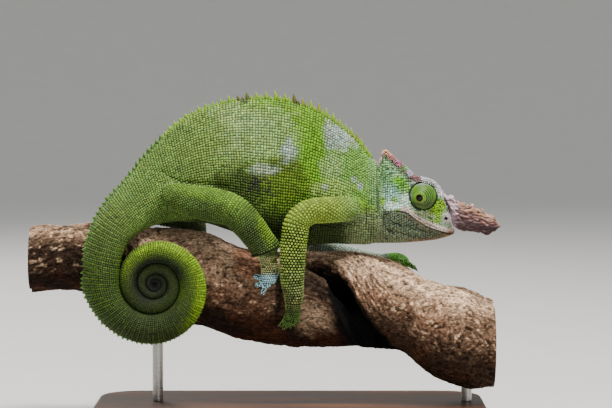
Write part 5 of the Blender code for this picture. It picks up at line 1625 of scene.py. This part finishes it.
CREST_SPACING = [(0.0, 2.9), (25.0, 3.7), (60.0, 4.3), (85.0, 3.4), (120.0, 2.6), (180.0, 2.3), (240.0, 2.1)]
CREST_LENGTH = [
    (0.0, 2.8), (20.0, 3.9), (60.0, 3.6), (85.0, 2.7), (120.0, 2.2), (200.0, 1.6), (222.0, 1.1),
    (240.0, 0.6),
]
CREST_TONES = {  # at the foot and at the tip
    "back": (tone(108, 140, 50), tone(156, 186, 60)),
    "tail": (tone(60, 84, 30), tone(92, 128, 34)),
}
TAIL_TONES_FROM = 110.0  # millimetres along the back
TAN_TIPS = (12.0, 46.0)  # where along the back some tips are tan
TAN_SHARE = 0.3
DARK_SPOTS = [(-20.7, 3.0), (3.2, 1.5)]  # x and reach
CREST_START = 3.0
CREST_END = 0.56  # in turns of the coil
back_places = np.linspace(0, BODY_END, 600)
back_rows = spline(BODY, back_places)
outer, inner, _ = coil_rows(np.linspace(0.0, CREST_END, 300))
back_line = np.vstack([back_rows[:, 0:2], outer])
belly_line = np.vstack([back_rows[:, 2:4], inner])
back_depth = np.concatenate([back_rows[:, 5], np.full(len(outer), COIL_DEPTH)])
back_walk = walked(back_line)


def crest_row(spacing, start, sideways=0.0, scale=1.0, seed=3):
    """Rows for spikes along the back line, set to one side of it or on it."""
    draw = np.random.default_rng(seed)
    rows, due = [], start
    while due < back_walk[-1] - 1:
        at = np.interp(due, back_walk, np.arange(len(back_walk)))
        here = spline(back_line, [at])[0]
        up = unit(here - spline(belly_line, [at])[0])
        ahead = unit(spline(back_line, [min(at + 3, len(back_line) - 1)])[0] - here)
        depth = np.interp(due, back_walk, back_depth) + sideways
        length = float(value_at(CREST_LENGTH, due)) * scale * draw.uniform(0.75, 1.1)
        sunk = np.array((up[0], 0, up[1])) * (0.1 + 0.25 * abs(sideways))
        foot = np.array((here[0], depth, here[1])) - sunk
        low, tip = CREST_TONES["back" if due < TAIL_TONES_FROM else "tail"]
        if TAN_TIPS[0] < due < TAN_TIPS[1] and draw.random() < TAN_SHARE:
            tip = tone(150, 136, 74)
        if any(abs(here[0] - x) < reach for x, reach in DARK_SPOTS):
            low, tip = tone(64, 62, 36), tone(104, 110, 50)
        lean = np.array((ahead[0], 0.0, ahead[1]))
        radius = length * float(np.interp(due, [90.0, 120.0], [0.24, 0.52])) + 0.3
        rows.append((foot, (up[0], 0.25 * np.sign(sideways), up[1]), lean, length, radius, 0.6, low, tip))
        due += float(value_at(spacing, due))
    return rows


main_crest = crest_row(CREST_SPACING, CREST_START)
low_crest = crest_row(CREST_SPACING, CREST_START + 1.6, 0.0, 0.5, 4)
fine_spacing = [(0.0, 1.9), (240.0, 1.5)]
left_crest = crest_row(fine_spacing, 4.0, 0.95, 0.34, 5)
right_crest = crest_row(fine_spacing, 4.6, -0.95, 0.34, 6)
claw_shape = (CLAW_LENGTH, CLAW_RADIUS, 0.75, tone(96, 84, 62), tone(44, 38, 30))
crest = spikes("crest_spikes", main_crest + low_crest)
crest_sides = spikes("crest_side_spikes", left_crest + right_crest, 6, 4)
claws = spikes("claws", [(*place, *claw_shape) for place in claw_places], 10, 8)
print("crest spikes:", len(main_crest))

# %% [markdown]
# ## The twisted vine
# Two woody strands wind round each other. The section of one strand is the letter D, with its flat side to
# the other strand, and the section turns as it goes along. Displacement modifiers could roughen a plain
# strand, but bark has a direction: long fissures follow the strand, short cracks cross it. So the height is
# worked out from how far along and how far round a point lies, and the same height darkens the cracks.

# %% Strands
TWIST = [  # x, and how far the front strand has turned down from the front, in degrees
    (-118.0, -196.0), (-96.0, -180.0), (-82.0, -128.0), (-68.0, -62.0), (-54.0, -20.0), (-30.0, -6.0),
    (-6.0, 4.0), (7.0, 27.0), (16.0, 45.0), (22.5, 63.0), (28.0, 91.0), (34.0, 121.0), (40.0, 151.0),
    (48.0, 168.0), (74.0, 180.0), (94.0, 192.0),
]
STRAND_SECTION = [
    (1.0, 0.0), (0.93, 0.37), (0.77, 0.66), (0.54, 0.85), (0.30, 0.94), (0.10, 0.80), (0.0, 0.5),
]
STRAND_SIDES = 12
ROPE_ENDS = (-117.0, 92.0)
BARK_PALE = tone(226, 196, 170)
BARK_MID = tone(118, 95, 80)
BARK_DARK = tone(22, 16, 13)
BARK_RED = tone(126, 80, 60)
CLEFT = [(13.0, 72.0), (18.0, 65.5), (22.5, 59.0), (27.5, 48.5), (33.5, 39.0), (38.0, 33.0)]  # x, height
CLEFT_HALF = [(0.0, 0.8), (0.2, 2.2), (0.45, 4.2), (0.7, 5.0), (0.85, 6.0), (1.0, 6.5)]
CLEFT_DEPTH = 6.5
TOP_SWELL = (-35.0, 10.0, 2.0)  # x, reach and height of a swelling on the upper side
WOOD_PALE = tone(176, 152, 128)
WOOD_DARK = tone(136, 110, 88)


def strand_grid(phase, inner, rings=430):
    half = STRAND_SECTION[1:]
    outline = np.array([STRAND_SECTION[0], *half, *[(out, -side) for out, side in reversed(half)]])
    closed = np.vstack([outline[-2:], outline, outline[:3]])
    shape = spline(closed, 2 + np.arange(len(outline) * STRAND_SIDES) / STRAND_SIDES)
    coarse = np.linspace(*ROPE_ENDS, 900)
    turns = value_at(TWIST, coarse)
    pace = np.concatenate([[0.0], np.cumsum(np.hypot(np.diff(coarse), np.diff(turns) * 0.3))])
    xs = np.interp(np.linspace(0, pace[-1], rings), pace, coarse)
    turn = np.radians(value_at(TWIST, xs)) + phase
    radius, axis = value_at(ROPE_RADIUS, xs), value_at(ROPE_AXIS, xs)
    out_way = np.stack([0 * xs, -np.cos(turn), -np.sin(turn)], axis=-1)
    side_way = np.stack([0 * xs, np.sin(turn), -np.cos(turn)], axis=-1)
    centre = np.stack([xs, 0 * xs + ROPE_DEPTH, axis], axis=-1)
    out, side = shape[:, 0], shape[:, 1]
    reach, spread = radius[:, None] * out + inner * (out < 0.3), radius[:, None] * side
    return centre[:, None] + out_way[:, None] * reach[..., None] + side_way[:, None] * spread[..., None]


def grid_normals(grid):
    along = np.gradient(grid, axis=0)
    around = np.roll(grid, -1, axis=1) - np.roll(grid, 1, axis=1)
    normals = unit(np.cross(along, around))
    middle = grid.mean(axis=1, keepdims=True)
    flip = np.sign(np.sum(normals * (grid - middle), axis=(1, 2)).mean())
    return normals * (flip if flip else 1.0)


def bark_relief(grid, phase, up):
    """The bark's height off the plain strand, and the cracks, crumbs and streaks that also colour it."""
    walk = walked(grid.mean(1))[:, None]
    round_way = np.stack([walked(ring) for ring in grid])
    sides = grid.shape[1]
    seam = np.clip(np.minimum(np.arange(sides), sides - np.arange(sides)) / 8, 0, 1)
    along = walk + 0 * round_way
    slant = np.stack([along, round_way + 0.35 * along, 0 * round_way + 31 * phase], axis=-1)
    fissure = 1 - np.abs(cloud(slant * (0.22, 1.0, 1.0), 1.2, 61))
    deep = 1 - np.abs(cloud(slant * (0.16, 0.6, 1.0), 1.7, 62))
    crumb, flake = cloud(grid, 0.75, 63), cloud(slant * (0.5, 1.0, 1.0), 1.1, 72)
    crack = np.clip((fissure - 0.78) / 0.22, 0, 1) ** 1.3
    split = np.clip((deep - 0.88) / 0.12, 0, 1) ** 1.5 * ramp(cloud(grid, 9.0, 73), -0.1, 0.4)
    height = 0.4 * cloud(grid, 12.0, 64) + 0.3 * cloud(grid, 4.5, 65) + 0.24 * cloud(grid, 1.9, 66)
    height = height + 0.22 * crumb + 0.2 * flake - (0.26 * crack + 0.4 * split) * (0.4 + 0.6 * seam)
    swell_x, swell_reach, swell_height = TOP_SWELL
    height = height + swell_height * bell((grid[..., 0] - swell_x) / swell_reach) * ramp(up, 0.2, 0.8)
    height = height * np.clip(np.minimum(walk, walk[-1] - walk) / 1.5, 0, 1)
    streak = cloud(slant * (0.1, 1.0, 1.0), 0.8, 74)
    return height, (0.7 * crack + 0.8 * split).ravel(), crumb.ravel(), flake.ravel(), streak.ravel()


def cleft_and_shade(flat, phase):
    """The deep cleft between the strands, and the shade beside it and under the arm."""
    x, y = flat[:, 0], flat[:, 1]
    from_cleft, share = from_curve(flat[:, [0, 2]], CLEFT)
    half = value_at(CLEFT_HALF, share)
    cleft = ramp(from_cleft / half, 1.05, 0.6) * ramp(y, 4.0, -2.0) * ramp(share, 0.12, 0.4)
    shade = ramp(from_cleft - half, 2.4 if phase else 7.5, 0.0) * ramp(y, 14.0, 8.0) * ramp(share, 0.0, 0.3)
    under_arm = patch(flat, (13.5, 63.0), (12.0, 8.0), turn=-40, soft=0.5, seed=75) * ramp(y, 6.0, 0.0)
    beside_arm = patch(flat, (-4.6, 60.0), (2.0, 13.5), turn=-4, fray=0.1, seed=80) * ramp(y, 0.0, -5.0)
    return cleft, np.maximum(np.maximum(shade, 0.88 * under_arm), 0.8 * beside_arm)


def bark_tone(flat, phase, up, cracks, crumb, flake, streak, shade):
    x = flat[:, 0]
    # painted light: places that face up are paler, less so on the left part of the back strand and towards
    # both ends of the vine
    top = ramp(up, 0.15, 0.85) * (0.8 + 0.35 * cloud(flat, 6.0, 67))
    top = top * ((0.6 + 0.48 * ramp(x, 32.0, 60.0)) if phase else 1.0)
    top = top * (1 - 0.45 * ramp(x, -30.0, -60.0)) * (1 - 0.25 * ramp(x, 70.0, 84.0))
    # painted shade: places that face down are dark, and at the left end the sides as well
    underside_shade = np.maximum(ramp(up, 0.25, -0.45), ramp(up, 0.8, 0.3) * ramp(x, -50.0, -75.0) * 0.85)
    red = np.clip(cloud(flat, 9.0, 68) * 1.6, 0, 1) * 0.15
    pale_patch = patch(flat, (11.5, 47.5), (9.0, 6.5), soft=0.5, seed=76) * (0 if phase else 0.55)
    loose = flake + 0.6 * crumb
    colours = lay_on(
        BARK_MID,
        # painted light on the upper side
        (np.clip(top, 0, 1), BARK_PALE),
        # painted shade on the underside, a little weaker on the right part
        (underside_shade * (0.95 - 0.17 * ramp(x, 22.0, 36.0)), BARK_DARK),
        (np.maximum(red, patch(flat, (-18.0, 74.0), (8.0, 7.5), seed=69) * 0.7), BARK_RED),
        (pale_patch, BARK_PALE * 0.75),
    )
    colours = lay_on(
        colours * (1 + (0.15 if phase else 0.3) * streak)[:, None],
        (ramp(streak, -0.35, -0.9) * 0.45, BARK_DARK),
        (np.clip(cracks, 0, 0.9), BARK_DARK),
        # pale crumbs where the bark does not face down: partly the bark's own pale flakes, partly painted
        # highlight
        (ramp(loose, 0.45, 0.9) * ramp(up, -0.5, 0.2) * 0.55, BARK_PALE * 1.1),
        (ramp(loose, -0.3, -0.85) * 0.7, BARK_DARK),
        (shade, tone(7, 5, 4)),
    )
    rough = 1.0 + 0.5 * ramp(x, 10.0, 25.0)
    lit = 0.22 * bell((x - 52.0) / 16.0) - 0.12 * ramp(x, 74.0, 86.0)
    fine = 1 + rough * (0.3 * cloud(flat, 1.3, 70) + 0.26 * crumb)
    return colours * (1 + lit)[:, None] * fine[:, None]


def cut_end(ring):
    """Rings that close a cut end, from the rim to the middle, with the colours of the wood's year rings."""
    middle, rings, tones = ring.mean(0), [], []
    for share in np.linspace(0.97, 0.03, 24):
        growth = 0.5 + 0.5 * math.sin(share * 58 + 3 * math.sin(share * 9))
        wood = BARK_DARK if share > 0.93 else WOOD_PALE + (WOOD_DARK - WOOD_PALE) * growth
        rings.append(middle + (ring - middle) * share)
        tones.append(wood * (1 + 0.1 * cloud(rings[-1], 0.7, 71))[:, None])
    return rings, tones


def vine_strand(name, phase, inner):
    grid = strand_grid(phase, inner)
    normals, flat = grid_normals(grid), grid.reshape(-1, 3)
    up = normals[..., 2]
    height, *relief = bark_relief(grid, phase, up)
    cleft, shade = cleft_and_shade(flat, phase)
    lift = height - 0.15 - CLEFT_DEPTH * cleft.reshape(up.shape)
    points = grid + normals * lift[..., None]
    (low, low_tones), (high, high_tones) = cut_end(points[0]), cut_end(points[-1])
    bark = bark_tone(flat, phase, up.ravel(), *relief, shade)
    paint = np.concatenate([*low_tones[::-1], bark, *high_tones])
    return spin_mesh(name, np.concatenate([low[::-1], points, high]), np.clip(paint, 0.004, 0.95))


vines = {"front": vine_strand("vine_front", 0.0, 0.0), "back": vine_strand("vine_back", math.pi, -1.2)}
print("vine faces:", [len(vine.data.polygons) for vine in vines.values()])

# %% [markdown]
# ## Finishes
# Skin is matt with a faint waxy gloss, horn is drier, bark is quite dull and the eye is wet. Every finish
# starts from the paint on the mesh and adds what is too fine to paint: specks of colour and a bump of
# noise, both in the object's own coordinates, so that they stay put when the camera moves.

# %% Painted finishes
EVEN = (1.0, 1.0, 1.0)


def put(tree, node, **inputs):
    """Sets a node's inputs to values, or links them where another node's output is given."""
    for name, value in inputs.items():
        socket = node.inputs[name.replace("_", " ")]
        if isinstance(value, bpy.types.NodeSocket):
            tree.links.new(value, socket)
        else:
            socket.default_value = value
    return node


def new_finish(name):
    """A new material, with its node tree and its shader."""
    material = bpy.data.materials.new(name)
    material.use_nodes = True
    return material, material.node_tree, material.node_tree.nodes["Principled BSDF"]


def noise_node(tree, scale, detail=4.0, stretch=EVEN):
    """A noise value in object coordinates. Scale counts features in a metre."""
    place = tree.nodes.new("ShaderNodeTexCoord").outputs["Object"]
    mapping = put(tree, tree.nodes.new("ShaderNodeMapping"), Vector=place, Scale=stretch)
    noise = tree.nodes.new("ShaderNodeTexNoise")
    put(tree, noise, Vector=mapping.outputs["Vector"], Scale=scale, Detail=detail)
    return noise.outputs["Fac"]


def spread_node(tree, value, low, high):
    """Turns a noise value into one between low and high."""
    spread = tree.nodes.new("ShaderNodeMapRange")
    put(tree, spread, Value=value, From_Min=0.3, From_Max=0.7, To_Min=low, To_Max=high)
    return spread.outputs["Result"]


def ramp_node(tree, value, low, high, ends=(0.0, 1.0)):
    """Turns a noise value into a colour between low and high."""
    colours = put(tree, tree.nodes.new("ShaderNodeValToRGB"), Fac=value)
    for element, place, colour in zip(colours.color_ramp.elements, ends, (low, high)):
        element.position = place
        element.color = (*colour, 1)
    return colours.outputs["Color"]


def bump_node(tree, value, depth):
    bump = put(tree, tree.nodes.new("ShaderNodeBump"), Height=value, Distance=depth * MM, Strength=1.0)
    return bump.outputs["Normal"]


def painted(name, roughness, speck, grain, bump_depth, stretch, gloss):
    """A finish that reads the paint attribute tone and adds specks, uneven gloss and fine bump."""
    material, tree, shader = new_finish(name)
    paint = tree.nodes.new("ShaderNodeVertexColor")
    paint.layer_name = "tone"
    noise = noise_node(tree, grain, 5.0, stretch)
    scaled = tree.nodes.new("ShaderNodeVectorMath")
    scaled.operation = "SCALE"
    tree.links.new(paint.outputs["Color"], scaled.inputs[0])
    put(tree, scaled, Scale=spread_node(tree, noise, 1 - speck, 1 + speck))
    uneven = spread_node(tree, noise_node(tree, grain * 0.4), *roughness)
    put(tree, shader, Base_Color=scaled.outputs["Vector"], Roughness=uneven, Specular_IOR_Level=gloss)
    put(tree, shader, Normal=bump_node(tree, noise, bump_depth))
    return material


FINISHES = {  # roughness from and to, specks, features in a metre, bump, stretch, gloss
    "scale": ((0.46, 0.66), 0.14, 2200.0, 0.05, EVEN, 0.3),
    "skin": ((0.6, 0.8), 0.2, 1500.0, 0.08, EVEN, 0.15),
    "turret": ((0.4, 0.58), 0.12, 2400.0, 0.04, EVEN, 0.5),
    "horn": ((0.5, 0.75), 0.25, 900.0, 0.12, (0.4, 1.0, 1.0), 0.5),
    "crest": ((0.45, 0.65), 0.15, 1800.0, 0.05, EVEN, 0.5),
    "claw": ((0.3, 0.45), 0.1, 1200.0, 0.02, EVEN, 0.5),
    "bark": ((0.75, 0.95), 0.7, 1700.0, 0.5, (0.45, 1.0, 1.0), 0.06),
    "eye": ((0.05, 0.09), 0.02, 500.0, 0.0, EVEN, 0.28),
}
finishes = {name: painted(f"{name}_finish", *row) for name, row in FINISHES.items()}
print("painted finishes:", ", ".join(finishes))


# %% Stand finishes
def grained(name, grain, detail, stretch, colours, ends, roughness, bump_depth, metallic=0.0):
    """A finish with a grain that runs one way, between two colours."""
    material, tree, shader = new_finish(name)
    noise = noise_node(tree, grain, detail, stretch)
    put(tree, shader, Base_Color=ramp_node(tree, noise, *colours, ends), Metallic=metallic)
    uneven = spread_node(tree, noise, *roughness)
    put(tree, shader, Roughness=uneven, Normal=bump_node(tree, noise, bump_depth))
    return material


OILED = [tone(52, 32, 22), tone(112, 74, 50)]
STEEL = [tone(150, 148, 144), tone(204, 202, 198)]
wood = grained("stand_wood_finish", 260.0, 8.0, (0.06, 1.0, 0.7), OILED, (0.35, 0.68), (0.32, 0.5), 0.12)
metal = grained("stand_metal_finish", 900.0, 3.0, (0.1, 0.1, 2.0), STEEL, (0.0, 1.0), (0.24, 0.4), 0.02, 1.0)
for node, material in (("stand_base", wood), ("stand_rod_left", metal), ("stand_rod_right", metal)):
    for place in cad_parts[node].material_slots:
        place.material = material

# %% Give each piece its finish and its body, and hide the nodes it stands for
LIMB_PARTS = ("thigh", "shin", "foot", "upper_arm", "forearm", "hand")
FLESH = ["neck", "torso", "tail_upper", "tail_rear", "tail_under", "tail_coil", "tail_core", "head"]
FLESH += [f"{part}_{side}" for part in LIMB_PARTS for side in ("right", "left")]
COAT_SLOTS = {
    "flank_skin": ["flank_scales_right", "flank_scales_left"],
    "tail_skin": ["tail_scales", "coil_scales"],
    "head_skin": ["head_scales", "lip_scales", "casque_edge_scales"],
    "limb_skin": ["arm_scales", "leg_scales"],
    "turret_skin": ["turret_scales_right", "turret_scales_left"],
}
dressed = [  # piece, finish, slot, nodes that it stands for
    (skin, "skin", "flank_skin", FLESH),
    (crest, "crest", "tail_skin", []),
    (crest_sides, "crest", "tail_skin", []),
    (claws, "claw", "horn_scale", []),
]
for slot, names in COAT_SLOTS.items():
    finish = "turret" if slot == "turret_skin" else "scale"
    dressed += [(coats[name], finish, slot, []) for name in names]
for side in ("right", "left"):
    dressed.append((turrets[side], "turret", "turret_skin", [f"eye_turret_{side}"]))
    dressed.append((eyeballs[side], "eye", "eyeball", [f"eyeball_{side}"]))
    dressed.append((horns[side], "horn", "horn_scale", [f"horn_{side}"]))
dressed += [(vine, "bark", "vine_bark", [f"perch_vine_{strand}"]) for strand, vine in vines.items()]
for piece, finish, slot_name, nodes in dressed:
    piece.data.materials.clear()
    piece.data.materials.append(finishes[finish])
    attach(piece, "root")
    if nodes:
        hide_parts(*nodes)
print("pieces:", len(dressed), "faces:", sum(len(row[0].data.polygons) for row in dressed))

# %% [markdown]
# ## Floor and light
# The animal stands in a pale studio: a round floor that curves up far away, so no horizon line shows, and
# three large soft lights. The strongest comes from above, as daylight does, a weak one fills from the
# camera's side, and one from behind draws the edge of the back.

# %% Floor
def studio_floor(flat=1.9, rise=1.3, sides=96, steps=16):
    """A round floor in metres that curves up at its rim."""
    turn = circle(sides)
    rim = math.pi / 2 * np.arange(steps + 1) / steps
    radii = np.array([0.4, 1.0, *(flat + rise * np.sin(rim))])[:, None]
    heights = np.array([0.0, 0.0, *(rise * (1 - np.cos(rim)))])[:, None]
    rings = np.stack([radii * np.cos(turn), radii * np.sin(turn), heights + 0 * turn], axis=-1)
    points = np.vstack([np.zeros(3), rings.reshape(-1, 3)])
    faces = [(0, 1 + k, 1 + (k + 1) % sides) for k in range(sides)]
    faces += grid_faces(len(rings), sides, 1, caps=False)
    return add_mesh("studio_floor", points / MM, faces)


floor = studio_floor()
floor_finish, tree, shader = new_finish("floor_finish")
speckled = ramp_node(tree, noise_node(tree, 40.0), tone(222, 220, 216), tone(228, 227, 224))
put(tree, shader, Base_Color=speckled, Roughness=0.7)
floor.data.materials.append(floor_finish)

# %% Lights
def soft_light(name, place, size, power, colour=(1.0, 1.0, 1.0), aim=(-0.005, -0.01, 0.09)):
    light = bpy.data.lights.new(name, "AREA")
    light.shape = "DISK"
    light.size = size
    light.energy = power
    light.color = colour
    lamp = into_scene(name, light)
    lamp.location = place
    lamp.rotation_euler = (Vector(aim) - Vector(place)).to_track_quat("-Z", "Y").to_euler()
    return lamp


soft_light("daylight_above", (0.12, -0.3, 1.15), 0.45, 27.0, (1.0, 0.99, 0.96))
soft_light("fill_front", (0.5, -1.1, 0.35), 0.8, 2.2, (0.95, 0.98, 1.0))
soft_light("edge_behind", (-0.5, 0.8, 0.75), 0.5, 7.0, (1.0, 0.98, 0.94))
world = bpy.data.worlds.new("studio")
world.use_nodes = True
put(world.node_tree, world.node_tree.nodes["Background"], Color=(0.9, 0.93, 0.95, 1.0), Strength=0.5)
bpy.context.scene.world = world
